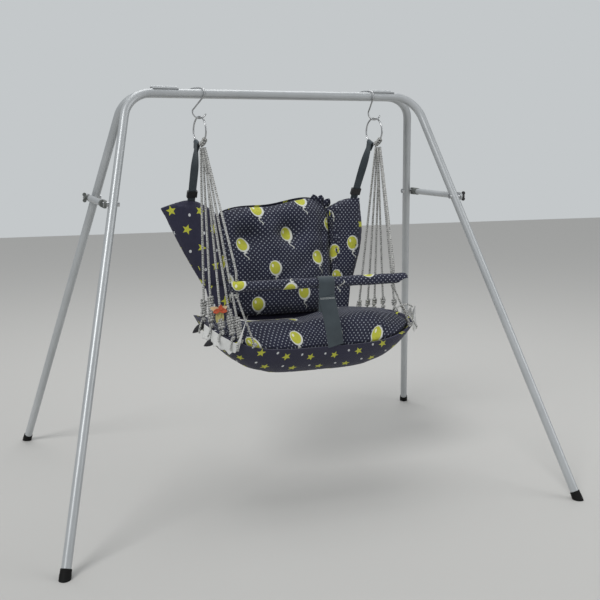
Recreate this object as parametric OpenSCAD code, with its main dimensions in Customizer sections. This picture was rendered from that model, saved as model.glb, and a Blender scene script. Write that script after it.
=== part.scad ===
// Folding indoor swing stand with a padded child seat.
// Two bent tube frames meet at the top bars on butt hinges and splay like a tent.
// A spreader bar on each side drops over a stud and locks the splay.
// Two wire hooks sit across both top bars and carry rings, ropes and the seat.
// +Z is up, -Y is the front, the origin is on the floor under the middle of the bars.

/* [Frame] */
// Height of the centre line of the top bars
bar_h = 1200; // [1000:10:1400]
// Half width between the corners where bar and leg lines cross
corner_half = 463; // [440:1:520]
// Half width between the leg lines at the floor
foot_half_w = 753; // [690:1:820]
// Half depth between the leg lines at the floor
foot_half_d = 583; // [480:1:640]
// Outside diameter of the frame tube
tube_d = 25.4; // [23:0.1:27]
// Wall of the frame tube
tube_wall = 1.5; // [1:0.1:2.5]
// Radius of the tube bends on the centre line
bend_r = 92; // [75:1:110]
// Half distance between the two top bars
bar_gap_half = 22.5; // [22:0.1:26]

/* [Feet] */
// Height of a rubber foot measured along its leg
foot_len = 26; // [24:1:45]
// Wall of a rubber foot round the tube
foot_wall = 1.9; // [1.5:0.1:4]
// Thickness of rubber under the tube end
foot_sole = 12; // [10:0.5:18]
// Height of the flared band at the sole
foot_flare_h = 13; // [8:0.5:18]

/* [Top hinges] */
// Distance from the middle of the stand to each hinge
hinge_x = 351; // [345:1:355]
// Length of a hinge
hinge_len = 76; // [60:1:78]
// Height of the hinge axis over the bar centre line
hinge_rise = 16; // [15.5:0.1:18]
// Radius of a knuckle
knuckle_r = 5.5; // [4.5:0.1:6.5]
// Radius of the hinge pin
pin_r = 2.5; // [2:0.1:3]
// Thickness of a leaf
leaf_t = 2.5; // [2:0.1:3]
// Width of a leaf from the hinge axis
leaf_w = 32; // [28:0.5:36]

/* [Spreaders] */
// Height of the spreader bars
spreader_z = 888; // [840:1:930]
// Outside diameter of a spreader tube
spreader_d = 19; // [16:0.5:21]
// Distance from leg centre to spreader centre, outwards
spreader_out = 22; // [22:0.5:26]
// Diameter of the studs and pivots
stud_d = 6; // [5:0.1:7]
// Width of the flattened hook end
hook_end_w = 23; // [20:0.5:26]
// Thickness of the flattened hook end
hook_end_t = 3; // [2:0.1:4]
// Length of the moulded end piece past the pivot
end_piece_len = 44; // [38:1:60]

/* [Hooks and rings] */
// Sideways place of the middle of the seat
swing_x = 45; // [30:1:55]
// Half distance between the two rings
ring_half = 289; // [280:1:300]
// Wire diameter of a hook
hook_wire = 4.6; // [4:0.1:5.5]
// Inside radius of the hook where it goes over the bars
hook_top_r = 38.5; // [38.2:0.1:41]
// Radius on the wire centre of the lower hook bend
hook_low_r = 21; // [17:0.5:24]
// Height of the lowest wire centre of a hook
hook_low_z = 1128; // [1110:1:1132]
// Outside diameter of a ring
ring_d = 88; // [80:1:96]
// Wire diameter of a ring
ring_wire = 5; // [4:0.1:6]

/* [Ropes and straps] */
// Diameter of the braided rope
rope_d = 6; // [4:0.1:6.2]
// Turns of the rope round each ring
hitch_turns = 4; // [3:1:5]
// Diameter of a rope knot
knot_d = 17; // [13:0.5:19]
// Width of the back straps
strap_w = 25; // [20:1:30]
// Thickness of the webbing
strap_t = 2.5; // [1.5:0.1:3]
// Width of the strap between the legs
crotch_w = 50; // [40:1:55]

/* [Seat] */
// Half width of the seat
seat_half_w = 344; // [335:1:348]
// Sideways shift of the seat from the middle of the rings
seat_shift = 22; // [10:1:25]
// Half depth of the seat
seat_half_d = 172; // [165:1:180]
// Distance from the top bars forwards to the middle of the seat
seat_fwd = 73; // [70:1:78]
// Lowest point of the seat
seat_low_z = 354; // [340:1:370]
// Height of the rim at the front
rim_front_z = 450; // [435:1:460]
// Height of the rim at the left side
rim_left_z = 528; // [515:1:535]
// Height of the rim at the right side
rim_right_z = 502; // [495:1:520]
// Height of the rim at the back
rim_rear_z = 476; // [470:1:478]
// Padding of the outer seat
sling_t = 12; // [9:0.5:15]
// Height of the cushion crown
seat_top_z = 511; // [495:1:512]

/* [Backrest] */
// Lean of the backrest from upright
back_lean = 12.5; // [11:0.5:14]
// Height of the backrest along its slope
back_len = 400; // [385:1:410]
// Half width of the backrest
back_half_w = 203; // [190:1:204]
// Distance from the top bars back to the foot of the backrest
back_foot_y = 88; // [87:0.5:90]
// Height of the foot of the backrest
back_foot_z = 487; // [486:0.5:492]
// How much lower the left end of the top edge is
back_slant = 26; // [10:1:30]
// Crown of the backrest to the front
back_crown = 62; // [45:1:70]
// Crown of the backrest to the rear
back_rear = 40; // [30:1:44]
// Depth of a tuft
tuft_depth = 20; // [10:1:28]
// Padding of the outer back
shell_t = 11; // [8:0.5:13]

/* [Front bar] */
// Half length of the front bar
front_bar_half = 276; // [268:1:282]
// Sideways shift of the front bar from the middle of the rings
front_bar_shift = 12; // [8:1:14]
// Distance from the top bars forwards to the front bar
front_bar_fwd = 239; // [236:1:246]
// Height of the front bar
front_bar_z = 647; // [630:1:660]
// Diameter of the rod inside the front bar
front_rod_d = 20; // [16:0.5:22]
// Diameter over the padding of the front bar
front_pad_d = 33; // [29:0.5:36]
// Half distance between the rope holes of the front bar
front_hole_half = 250; // [240:1:265]

/* [Hidden] */
$fn = 48;
// clearance between moving pieces, running clearance of pins, weld gap, overrun of cuts
gap = 0.3;
run = 0.05;
seat_gap = 0.4;
over = 2;

tube_r = tube_d / 2;
bore_r = tube_r - tube_wall;
splay = atan((foot_half_d - bar_gap_half) / bar_h);
slope_len = norm([bar_h, foot_half_d - bar_gap_half]);
leg_lean = atan((foot_half_w - corner_half) / slope_len);
turn = 90 - leg_lean;
bend_t = bend_r * tan(turn / 2);
straight_half = corner_half - bend_t;
bend_lap = 3;
bend_swell = 0.15;
// direction of the right leg in the plane of its frame, downwards
leg_dir = [sin(leg_lean), 0, -cos(leg_lean)];
leg_top = [corner_half, 0, 0] + bend_t * leg_dir;
leg_full = slope_len / cos(leg_lean);

foot_r = tube_r + foot_wall;
foot_flare = 0.6;
foot_drop = foot_r + foot_flare;
foot_turn = 65;

leaf_tilt_r = norm([hinge_rise, bar_gap_half]);
leaf_drop = tube_r + leaf_t / 2 + run;
leaf_tilt = acos(leaf_drop / leaf_tilt_r) - atan2(bar_gap_half, hinge_rise);
knuckle_count = 5;
knuckle_len = hinge_len / knuckle_count;
knuckle_play = 0.3;
pin_head_r = pin_r + 1.2;
pin_head_t = 1.6;
weld_w = 8;
weld_h = 3;

drop_len = (bar_h - spreader_z) / cos(splay);
leg_x = corner_half + drop_len * tan(leg_lean);
leg_y = bar_gap_half + drop_len * sin(splay);
span = 2 * leg_y;
stud_r = stud_d / 2;
stud_head_r = 7.5;
stud_head_t = 5;
stud_spacer_r = 7;
hole_play = 0.1;
slot_play = 1.6;
slot_lean = 29;
end_piece_t = 6;
end_socket_r = spreader_d / 2 + 2;
end_socket_start = 23;
spreader_start = 30;
swage_len = 26;
swage_end = 30;
swage_w = 15;
slot_nub = 0.15;
wing_hub_r = 7;
wing_hub_len = 10;
wing_span = 15;
wing_t = 3;
wing_h = 12;
wing_root = 6;
stud_past = 4;
rivet_cap_r = 6.5;
rivet_cap_t = 2.5;

hook_r = hook_wire / 2;
hook_lean = [8, 30];
hook_turn = [20, 10];
hook_mid_r = hook_top_r + hook_r;
hook_play = 1.1;
// the arch of a hook is flattened, so that it rests over both bars
hook_flat = 0.6;
hook_bar_cos = pow(bar_gap_half / cos(hook_turn[0]) / hook_mid_r, 1 / hook_flat);
hook_arch_h = (tube_r + hook_r + hook_play) / pow(1 - hook_bar_cos * hook_bar_cos, hook_flat / 2);
hook_tip_angle = 168;
hook_front_angle = -16;
hook_low_start = 172;
hook_low_end = 342;
hook_bend_step = 12;
ring_r = ring_wire / 2;
ring_mid_r = ring_d / 2 - ring_r;
// each ring hangs turned a little to the front
ring_turn = 12.5;
ring_z = hook_low_z + hook_r + ring_r + gap - ring_mid_r;
// the heights of the hanging parts are given for this height of the bars, and move with the bars
hung_bar_h = 1200;
hang = bar_h - hung_bar_h;

rope_r = rope_d / 2;
hitch_from = 8;
hitch_to = 57;
hitch_r = ring_r + rope_r + gap;
hitch_steps = 12;
strand_top_z = ring_z - ring_mid_r - hitch_r - rope_r - gap;
// places of the strand tops beside the hitch, in rope widths
strand_top_shares = [[-1.05, 0.2], [0.05, 0.2], [1.15, 0.2], [-0.5, -0.9], [0.6, -0.9]];
// places of the strand feet along the seat side, in half depths from the seat middle
strand_foot_left = [-0.77, -0.6, -0.33, -0.908, -0.865];
strand_foot_right = [0.91, 0.85, 0.78, 0.64, 0.3];
strand_count = len(strand_foot_left);
strand_fwd = 19;
bar_strand_fwd = 33;
strand_in = 2;
knot_r = knot_d / 2;
bar_rope_run = 30;
tie_share_left = -0.955;
tie_share_right = -0.78;

strap_ring_angle = 26;
strap_slack = 2.4;
strap_tail = 22;
// where a strap ends along the top of its wing, and its play there
strap_end_shares = [0.5, 0.82];
strap_end_play = [2.8, 2.6];
strap_drop_share = 0.42;
keeper_wall = 3;
keeper_h = 24;
keeper_play = 0.8;
keeper_rest = 8;
strap_knee_share = 0.6;
strap_steps = 10;
strap_wrap_from = 48;
strap_wrap_step = 22;

seat_y = -seat_fwd;
seat_power = 4;
bowl_power = 4;
crown_power = 5.6;
seat_rings = 7;
seat_sectors = 40;
sling_edge = 9;

back_power = 4.5;
back_cells = 16;
back_edge = 4;
back_taper_share = 0.06;
back_round_share = 0.1;
// tuft places as shares of the half width and of the height
tuft_shares = [[-0.52, 0.62], [0.05, 0.64], [0.58, 0.62]];
tuft_reach = 62;
shell_low = 8.2;

// a wing is sewn to the edge of the back between two of the back's cells
wing_first = 4;
wing_last = 15;
wing_cells = wing_last - wing_first;
wing_edge = 7;
wing_gap = 0.5;
left_wing_pad = 44;
left_wing_reach = 186;
left_wing_foot = 62;
left_wing_tip_y = 175;
left_wing_foot_y = 103;
left_wing_rise = 38;
left_wing_lift = 44;
left_wing_fold = 30;
left_wing_bow = 8;
right_wing_pad = 74;
right_wing_reach = 100;
right_wing_foot = 60;
right_wing_tip_y = 115;
right_wing_foot_y = 85;
right_wing_rise = 38;
right_wing_lift = 12;
right_wing_fold = 8;
right_wing_bow = 12;

pad_round = 9;
pad_waist = 1.5;
pad_past = 6;
hole_slack = 0.8;
crotch_x = 3;
crotch_play = 0.4;
crotch_foot = 8;
crotch_seat_play = 0.4;
crotch_bow = 6;
crotch_flap_z = 560;
crotch_lap_z = 606;

cloth_t = 2.4;
cloth_cells = 14;
cloth_folds = 3;
cloth_fold_h = 4;
cloth_h = [44, 34];
cloth_play = 0.5;
// the cloth runs between these angles of the seat outline
cloth_from = [14, 2];
cloth_to = [68, 33];
cloth_drop = [1, -15];

tube_colour = [0.69, 0.71, 0.72];
rubber_colour = [0.08, 0.08, 0.08];
dark_colour = [0.16, 0.16, 0.17];
steel_colour = [0.74, 0.75, 0.76];
rope_colour = [0.66, 0.67, 0.66];
web_colour = [0.24, 0.28, 0.3];
dot_colour = [0.12, 0.12, 0.2];
star_colour = [0.18, 0.18, 0.27];
white_colour = [0.88, 0.88, 0.87];
wood_colour = [0.72, 0.58, 0.4];

// small vector tools
function unit(v) = v / norm(v);
function spun(v) = [cos(ring_turn) * v[0] - sin(ring_turn) * v[1],
    sin(ring_turn) * v[0] + cos(ring_turn) * v[1], v[2]];
function mix(a, b, s) = a + (b - a) * s;
function flip(l) = [for (i = [len(l) - 1 : -1 : 0]) l[i]];
function bump(s, p) = pow(max(0, 1 - pow(abs(s), p)), 1 / p);
function signed(s, p) = (s < 0 ? -1 : 1) * pow(abs(s), p);

// a frame carried along a path with as little twist as possible
function tangents(p) = [for (i = [0 : len(p) - 1])
    unit(p[min(i + 1, len(p) - 1)] - p[max(i - 1, 0)])];
function side_vectors(t, n0) = [for (i = 0, n = unit(n0 - (n0 * t[0]) * t[0]); i < len(t);
    i = i + 1, n = i < len(t) ? unit(n - (n * t[i]) * t[i]) : n) n];

// triangles between two rows of a ring of points, and the fans that close its ends
function band(i, n) = [for (k = [0 : n - 1], h = [0, 1])
    h == 0 ? [i * n + k, i * n + (k + 1) % n, (i + 1) * n + k]
           : [i * n + (k + 1) % n, (i + 1) * n + (k + 1) % n, (i + 1) * n + k]];
function cap(first, n, up) = [for (k = [1 : n - 2])
    up ? [first, first + k, first + k + 1] : [first, first + k + 1, first + k]];

module swept(rows) {
    n = len(rows[0]);
    pts = [for (row = rows, p = row) p];
    body = [for (i = [0 : len(rows) - 2], f = band(i, n)) f];
    polyhedron(pts, concat(cap(0, n, true), [for (f = body) flip(f)],
        cap((len(rows) - 1) * n, n, false)));
}

// a round rod along a path
module round_path(p, r, n0, sides = 8) {
    t = tangents(p);
    s = side_vectors(t, n0);
    swept([for (i = [0 : len(p) - 1]) [for (k = [0 : sides - 1])
        p[i] + r * (cos(360 * k / sides) * s[i] + sin(360 * k / sides) * cross(t[i], s[i]))]]);
}

// a flat band along a path, with its width direction given at each point
module flat_path(p, w, width, thick) {
    t = tangents(p);
    pts = [for (i = [0 : len(p) - 1])
        let (a = unit(w[i] - (w[i] * t[i]) * t[i]), b = cross(t[i], a))
        for (c = [[-1, -1], [1, -1], [1, 1], [-1, 1]])
            p[i] + a * c[0] * width / 2 + b * c[1] * thick / 2];
    faces = [for (i = [0 : len(p) - 2], k = [0 : 3], h = [0, 1])
        let (a = 4 * i + k, b = 4 * i + (k + 1) % 4, c = b + 4, d = a + 4)
        k < 2 ? (h == 0 ? [a, d, b] : [b, d, c]) : (h == 0 ? [a, c, b] : [a, d, c])];
    polyhedron(pts, concat(cap(0, 4, true), faces, cap(4 * (len(p) - 1), 4, false)));
}

// a straight rod between two points
module rod(p, q, r) {
    d = q - p;
    translate(p) rotate([0, acos(d[2] / norm(d)), atan2(d[1], d[0])]) cylinder(h = norm(d), r = r);
}

// a body between a front and a rear sheet of points that share no edge
module two_sheets(front, rear) {
    m = len(front);
    n = len(front[0]);
    edge = concat([for (j = [0 : n - 1]) [0, j]], [for (i = [1 : m - 1]) [i, n - 1]],
        [for (j = [n - 2 : -1 : 0]) [m - 1, j]], [for (i = [m - 2 : -1 : 1]) [i, 0]]);
    pts = concat([for (row = front, p = row) p], [for (row = rear, p = row) p]);
    fronts = [for (i = [0 : m - 2], j = [0 : n - 2], h = [0, 1])
        h == 0 ? [i * n + j, i * n + j + 1, (i + 1) * n + j]
               : [i * n + j + 1, (i + 1) * n + j + 1, (i + 1) * n + j]];
    rears = [for (f = fronts) [for (k = flip(f)) k + m * n]];
    e = len(edge);
    sides = [for (k = [0 : e - 1], h = [0, 1])
        let (a = edge[k][0] * n + edge[k][1], b = edge[(k + 1) % e][0] * n + edge[(k + 1) % e][1])
        h == 0 ? [b, a, a + m * n] : [b, a + m * n, b + m * n]];
    polyhedron(pts, concat(fronts, rears, sides));
}

// a body between an upper and a lower bowl of rings, closed at the rim
module two_bowls(upper, lower) {
    m = len(upper);
    n = len(upper[0]);
    c = 2 * m * n;
    mid_up = [for (k = [0 : 2]) (upper[0][0][k] + upper[0][n / 2][k]) / 2];
    mid_low = [for (k = [0 : 2]) (lower[0][0][k] + lower[0][n / 2][k]) / 2];
    pts = concat([for (row = upper, p = row) p], [for (row = lower, p = row) p], [mid_up, mid_low]);
    ups = [for (i = [0 : m - 2], f = band(i, n)) f];
    lows = [for (f = ups) [for (k = flip(f)) k + m * n]];
    rim = [for (k = [0 : n - 1], h = [0, 1])
        let (a = (m - 1) * n + k, b = (m - 1) * n + (k + 1) % n)
        h == 0 ? [a, b, a + m * n] : [b, b + m * n, a + m * n]];
    hubs = [for (k = [0 : n - 1], h = [0, 1])
        h == 0 ? [c, (k + 1) % n, k] : [c + 1, m * n + k, m * n + (k + 1) % n]];
    polyhedron(pts, concat(ups, lows, rim, hubs));
}

// the right half of the stand, mirrored to the left
module both() {
    children();
    mirror([1, 0, 0]) children();
}

// places a frame drawn in its own upright plane: side is 1 for the rear, -1 for the front
module in_frame(side) {
    translate([0, side * bar_gap_half, bar_h]) rotate([side * splay, 0, 0]) children();
}

// the bends lap a little over the straight runs, as drawn tube does at the ends of a bend
module tube_run(r, extra) {
    lap = atan(bend_lap / bend_r);
    rod([-straight_half, 0, 0], [straight_half, 0, 0], r);
    both() {
        translate([straight_half, 0, -bend_r]) rotate([90, 0, 0]) rotate([0, 0, leg_lean - lap])
            rotate_extrude(angle = turn + 2 * lap) translate([bend_r, 0]) circle(r + bend_swell);
        rod(leg_top, leg_top + (leg_full - bend_t - foot_sole + extra) * leg_dir, r);
    }
}

// the cross hole for the pivot or the stud of a spreader
module leg_hole() {
    at = [leg_x, 0, -drop_len];
    reach = tube_d;
    rod(at - [reach, 0, 0], at + [reach, 0, 0], stud_r + hole_play);
}

module frame_tube(side) {
    in_frame(side) difference() {
        tube_run(tube_r, 0);
        tube_run(bore_r, over);
        both() leg_hole();
    }
}

module rear_frame_tube() { color(tube_colour) frame_tube(1); }
module front_frame_tube() { color(tube_colour) frame_tube(-1); }

// a rubber foot: a socket on the leg end, flared to a sole that is flat on the floor
module foot(side, hand) {
    leg_end = [foot_half_w, foot_half_d, 0];
    up = unit([corner_half, bar_gap_half, bar_h] - leg_end);
    mirror([hand < 0 ? 1 : 0, 0, 0]) mirror([0, side < 0 ? 1 : 0, 0]) difference() {
        translate(leg_end) rotate([0, acos(up[2]), atan2(up[1], up[0])]) rotate([0, 0, foot_turn]) difference() {
            rotate_extrude() polygon([[0, -foot_drop], [foot_r + foot_flare, -foot_drop],
                [foot_r + foot_flare, foot_flare_h], [foot_r, foot_flare_h + foot_flare],
                [foot_r, foot_len - foot_wall], [foot_r - foot_wall / 2, foot_len], [0, foot_len]]);
            translate([0, 0, foot_sole]) cylinder(h = foot_len, r = tube_r + run);
        }
        translate([0, 0, -2 * foot_drop]) linear_extrude(2 * foot_drop)
            translate([foot_half_w, foot_half_d]) square(8 * foot_drop, center = true);
    }
}

module foot_rear_left() { color(rubber_colour) foot(1, -1); }
module foot_rear_right() { color(rubber_colour) foot(1, 1); }
module foot_front_left() { color(rubber_colour) foot(-1, -1); }
module foot_front_right() { color(rubber_colour) foot(-1, 1); }

// a hinge leaf lies tangent on its bar, with every other knuckle, and is welded to the tube
module hinge_leaf(side, hand) {
    first = side > 0 ? 0 : 1;
    translate([hand * hinge_x, 0, bar_h + hinge_rise]) mirror([0, side < 0 ? 1 : 0, 0])
    rotate([-leaf_tilt, 0, 0]) difference() {
        union() {
            translate([-hinge_len / 2, knuckle_r + gap, -leaf_t / 2])
                cube([hinge_len, leaf_w - knuckle_r - gap, leaf_t]);
            for (k = [first : 2 : knuckle_count - 1]) translate([-hinge_len / 2 + k * knuckle_len, 0, 0]) {
                translate([knuckle_play / 2, 0, 0]) rotate([0, 90, 0])
                    cylinder(h = knuckle_len - knuckle_play, r = knuckle_r);
                translate([knuckle_play / 2, 0, -leaf_t / 2])
                    cube([knuckle_len - knuckle_play, knuckle_r + 2 * gap, leaf_t]);
            }
            translate([-hinge_len / 2, bar_gap_half / cos(leaf_tilt) - weld_w / 2, -leaf_t / 2 - weld_h])
                cube([hinge_len, weld_w, weld_h + leaf_t / 2]);
        }
        translate([-hinge_len, 0, 0]) rotate([0, 90, 0])
            cylinder(h = 2 * hinge_len, r = pin_r + (side < 0 ? run : 0));
        rotate([leaf_tilt, 0, 0]) translate([-hinge_len, bar_gap_half, -hinge_rise]) rotate([0, 90, 0])
            cylinder(h = 2 * hinge_len, r = tube_r + run);
    }
}

module hinge_leaf_rear_left() { color(tube_colour) hinge_leaf(1, -1); }
module hinge_leaf_rear_right() { color(tube_colour) hinge_leaf(1, 1); }
module hinge_leaf_front_left() { color(tube_colour) hinge_leaf(-1, -1); }
module hinge_leaf_front_right() { color(tube_colour) hinge_leaf(-1, 1); }

module hinge_pin(hand) {
    translate([hand * hinge_x - hinge_len / 2, 0, bar_h + hinge_rise]) rotate([0, 90, 0]) {
        cylinder(h = hinge_len, r = pin_r);
        translate([0, 0, -pin_head_t]) cylinder(h = pin_head_t, r = pin_head_r);
        translate([0, 0, hinge_len]) cylinder(h = pin_head_t, r = pin_head_r);
    }
}

module hinge_pin_left() { color(steel_colour) hinge_pin(-1); }
module hinge_pin_right() { color(steel_colour) hinge_pin(1); }

// the right side of the stand holds a spreader as drawn, the left side turned half round
module on_side(hand) {
    rotate([0, 0, hand > 0 ? 0 : 180]) children();
}

// a leg of the right side at a given end: end is 1 for the pivot leg at the rear, -1 for the lock leg
module clear_of_leg(end) {
    difference() {
        children();
        in_frame(end) rod(leg_top, leg_top + leg_full * leg_dir, tube_r + run);
    }
}

// a bolt through the leg with its round head inside and a spacer outside
module cross_bolt(end, spacer_end, tip) {
    at = [leg_x, end * leg_y, spreader_z];
    clear_of_leg(end) {
        rod(at - [tube_r + stud_head_t, 0, 0], at - [tube_r - stud_head_t / 2, 0, 0], stud_head_r);
        rod(at + [tube_r / 2, 0, 0], at + [spacer_end, 0, 0], stud_spacer_r);
    }
    rod(at - [tube_r + stud_head_t / 2, 0, 0], at + [tip, 0, 0], stud_r);
}

module pivot_bolt(hand) {
    outer = spreader_out + end_piece_t / 2 + gap;
    on_side(hand) {
        cross_bolt(1, spreader_out - end_piece_t / 2 - gap, outer + rivet_cap_t);
        rod([leg_x + outer, leg_y, spreader_z], [leg_x + outer + rivet_cap_t, leg_y, spreader_z], rivet_cap_r);
    }
}

module lock_stud(hand) {
    on_side(hand) cross_bolt(-1, spreader_out - hook_end_t / 2 - gap,
        spreader_out + hook_end_t / 2 + wing_hub_len + stud_past);
}

module pivot_bolt_left() { color(steel_colour) pivot_bolt(-1); }
module pivot_bolt_right() { color(steel_colour) pivot_bolt(1); }
module lock_stud_left() { color(steel_colour) lock_stud(-1); }
module lock_stud_right() { color(steel_colour) lock_stud(1); }

// places a spreader drawn along +Y from its pivot: +Y points to the lock stud at the front
module at_pivot(hand) {
    on_side(hand) translate([leg_x + spreader_out, leg_y, spreader_z]) mirror([0, 1, 0]) children();
}

// the spreader tube, with its free end pressed flat and cut to a hook that drops over the stud
module spreader_tube(hand) {
    press_y = span - swage_end - swage_len;
    half_w = hook_end_w / 2;
    at_pivot(hand) difference() {
        union() {
            rod([0, spreader_start, 0], [0, press_y, 0], spreader_d / 2);
            translate([0, press_y - over, 0]) rotate([-90, 0, 0])
                cylinder(h = swage_len + over, r1 = spreader_d / 2 - run, r2 = hook_end_t);
            translate([-hook_end_t / 2, 0, 0]) rotate([90, 0, 90]) linear_extrude(hook_end_t) polygon([
                [press_y - over, -swage_w / 2], [span - swage_end, -half_w], [span, -half_w],
                [span, half_w], [span - swage_end, half_w], [press_y - over, swage_w / 2]]);
            translate([0, span, 0]) rotate([0, 90, 0])
                cylinder(h = hook_end_t, r = half_w + slot_nub, center = true);
        }
        translate([0, span, 0]) {
            rotate([0, 90, 0]) cylinder(h = 4 * hook_end_t, r = stud_r + slot_play / 2, center = true);
            rotate([-slot_lean, 0, 0])
                translate([-2 * hook_end_t, -stud_r - slot_play / 2 + slot_nub, -2 * hook_end_w])
                cube([4 * hook_end_t, stud_d + slot_play - 2 * slot_nub, 2 * hook_end_w]);
        }
    }
}

// the moulded end piece: a flat eye on the pivot and a socket on the tube
module spreader_end(hand) {
    eye_r = hook_end_w / 2;
    at_pivot(hand) difference() {
        union() {
            rotate([0, 90, 0]) cylinder(h = end_piece_t, r = eye_r, center = true);
            translate([-end_piece_t / 2, 0, -eye_r]) cube([end_piece_t, end_socket_start + over, 2 * eye_r]);
            rod([0, end_socket_start, 0], [0, end_piece_len, 0], end_socket_r);
        }
        rod([0, spreader_start - run, 0], [0, end_piece_len + over, 0], spreader_d / 2 + run);
        rotate([0, 90, 0]) cylinder(h = 2 * end_piece_t, r = stud_r + run, center = true);
    }
}

module spreader_tube_left() { color(tube_colour) spreader_tube(-1); }
module spreader_tube_right() { color(tube_colour) spreader_tube(1); }
module spreader_end_left() { color(dark_colour) spreader_end(-1); }
module spreader_end_right() { color(dark_colour) spreader_end(1); }

// a wing nut: a hub with two rounded wings
module wing_nut(hand) {
    on_side(hand) translate([leg_x + spreader_out + hook_end_t / 2 + gap, -leg_y, spreader_z])
    rotate([0, 90, 0]) difference() {
        union() {
            cylinder(h = wing_hub_len, r = wing_hub_r);
            translate([0, wing_t / 2, 0]) rotate([90, 0, 0]) linear_extrude(wing_t) for (s = [-1, 1]) {
                translate([s * (wing_span - wing_root), wing_h - wing_root / 2]) circle(wing_root);
                polygon([[0, over], [s * wing_hub_r, over], [s * wing_span, wing_h - wing_root / 2],
                    [s * (wing_span - 2 * wing_root), wing_h - wing_root / 2], [0, wing_hub_len]]);
            }
        }
        translate([0, 0, -over]) cylinder(h = 2 * wing_hub_len, r = stud_r + run);
    }
}

module wing_nut_left() { color(rubber_colour) wing_nut(-1); }
module wing_nut_right() { color(rubber_colour) wing_nut(1); }

// the wire hook: an arch over both bars, a shank under them and a bend that holds the ring
function hook_points(side) =
    let (hand = side == 0 ? -1 : 1, rx = swing_x + hand * ring_half, bx = rx - hook_lean[side],
        a = hook_turn[side], h = [sin(a), -cos(a), 0],
        top = [bx, 0, bar_h], low = [rx, 0, hook_low_z + hang + hook_low_r])
    concat(
        [for (g = [hook_tip_angle : -hook_bend_step : hook_front_angle])
            top + hook_mid_r * signed(cos(g), hook_flat) * h + hook_arch_h * signed(sin(g), hook_flat) * [0, 0, 1]],
        [for (g = [hook_low_start : hook_bend_step : hook_low_end])
            low + hook_low_r * [cos(g), 0, sin(g)]]);

module s_hook(side) {
    round_path(hook_points(side), hook_r, [1, 0, 0], 10);
}

module s_hook_left() { color(steel_colour) s_hook(0); }
module s_hook_right() { color(steel_colour) s_hook(1); }

// everything of the swing is drawn about the middle of the seat
module at_swing() {
    translate([swing_x, 0, hang]) children();
}

module at_ring(hand) {
    translate([swing_x + hand * ring_half, 0, ring_z + hang]) rotate([0, 0, ring_turn]) rotate([90, 0, 90]) children();
}

module ring(hand) {
    at_ring(hand) rotate_extrude() translate([ring_mid_r, 0]) circle(ring_r);
}

module ring_left() { color(steel_colour) ring(-1); }
module ring_right() { color(steel_colour) ring(1); }

// the rope hitch winds round the front of the ring wire
function hitch_points() = let (n = hitch_turns * hitch_steps) [for (i = [0 : n])
    let (g = mix(hitch_from, hitch_to, i / n), w = 360 * hitch_turns * i / n, out = [0, -sin(g), -cos(g)])
    ring_mid_r * out + hitch_r * (cos(w) * out + sin(w) * [1, 0, 0])];
function hitch_gap(p) = min([for (i = [0 : len(p) - 1], j = [i + hitch_steps / 2 : 1 : len(p) - 1])
    norm(p[i] - p[j])]) - rope_d;
module rope_hitch(hand) {
    pts = hitch_points();
    echo(str("rope hitch, least gap to itself in mm: ", hitch_gap(pts)));
    translate([swing_x + hand * ring_half, 0, ring_z + hang]) rotate([0, 0, ring_turn])
        round_path(pts, rope_r, [0, 1, 0], 6);
}

module rope_hitch_left() { color(rope_colour) rope_hitch(-1); }
module rope_hitch_right() { color(rope_colour) rope_hitch(1); }

// the seat rim as a function of the place along a side, in half depths, on the flat between two of its corners
function rim_corner(hand, k) = let (g = 360 * k / seat_sectors, c = cos(g), s = sin(g))
    [hand * seat_half_w * signed(c, 2 / seat_power), seat_half_d * signed(s, 2 / seat_power), seat_rim(hand * c, s)];
function rim_spot(hand, share) = let (g = asin(signed(share, seat_power / 2)), k = floor(g * seat_sectors / 360),
        p = rim_corner(hand, k), q = rim_corner(hand, k + 1), y = share * seat_half_d, t = (y - p[1]) / (q[1] - p[1]))
    [mix(p[0], q[0], t), y, mix(p[2], q[2], t)];
function knot_at(hand, share) = rim_spot(hand, share) + [seat_shift - hand * strand_in, seat_y, knot_r + seat_gap];
function strand_feet(hand) = hand < 0 ? strand_foot_left : strand_foot_right;
function strand_top(hand, k) = [hand * ring_half, 0, 0] + spun([strand_top_shares[k][0] * rope_d * hand,
    -strand_fwd + strand_top_shares[k][1] * rope_d, strand_top_z]);

// a straight strand from the hitch to its knot at the seat side
module strand(hand, k) {
    p = strand_top(hand, k);
    q = knot_at(hand, strand_feet(hand)[k]);
    at_swing() rod(p, q + (knot_r + gap / 2) * unit(p - q), rope_r);
}

module rope_left_1() { color(rope_colour) strand(-1, 0); }
module rope_left_2() { color(rope_colour) strand(-1, 1); }
module rope_left_3() { color(rope_colour) strand(-1, 2); }
module rope_left_4() { color(rope_colour) strand(-1, 3); }
module rope_left_5() { color(rope_colour) strand(-1, 4); }
module rope_right_1() { color(rope_colour) strand(1, 0); }
module rope_right_2() { color(rope_colour) strand(1, 1); }
module rope_right_3() { color(rope_colour) strand(1, 2); }
module rope_right_4() { color(rope_colour) strand(1, 3); }
module rope_right_5() { color(rope_colour) strand(1, 4); }

// the front strand runs through the end of the front bar to the stopper knot below it
function bar_hole_at(hand) = [hand * front_hole_half, -front_bar_fwd, front_bar_z];
function stopper_at(hand) = bar_hole_at(hand) - [0, 0, front_pad_d / 2 + knot_r + gap];
function tie_foot(hand) = knot_at(hand, hand < 0 ? tie_share_left : tie_share_right);

module bar_rope(hand) {
    b = bar_hole_at(hand);
    up = [0, 0, bar_rope_run];
    at_swing() round_path([[hand * ring_half, 0, 0] + spun([0, -bar_strand_fwd, strand_top_z]), b + 2 * up, b + up,
        stopper_at(hand) + [0, 0, knot_r + gap / 2]], rope_r, [1, 0, 0], 8);
}

module bar_rope_left() { color(rope_colour) bar_rope(-1); }
module bar_rope_right() { color(rope_colour) bar_rope(1); }

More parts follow.
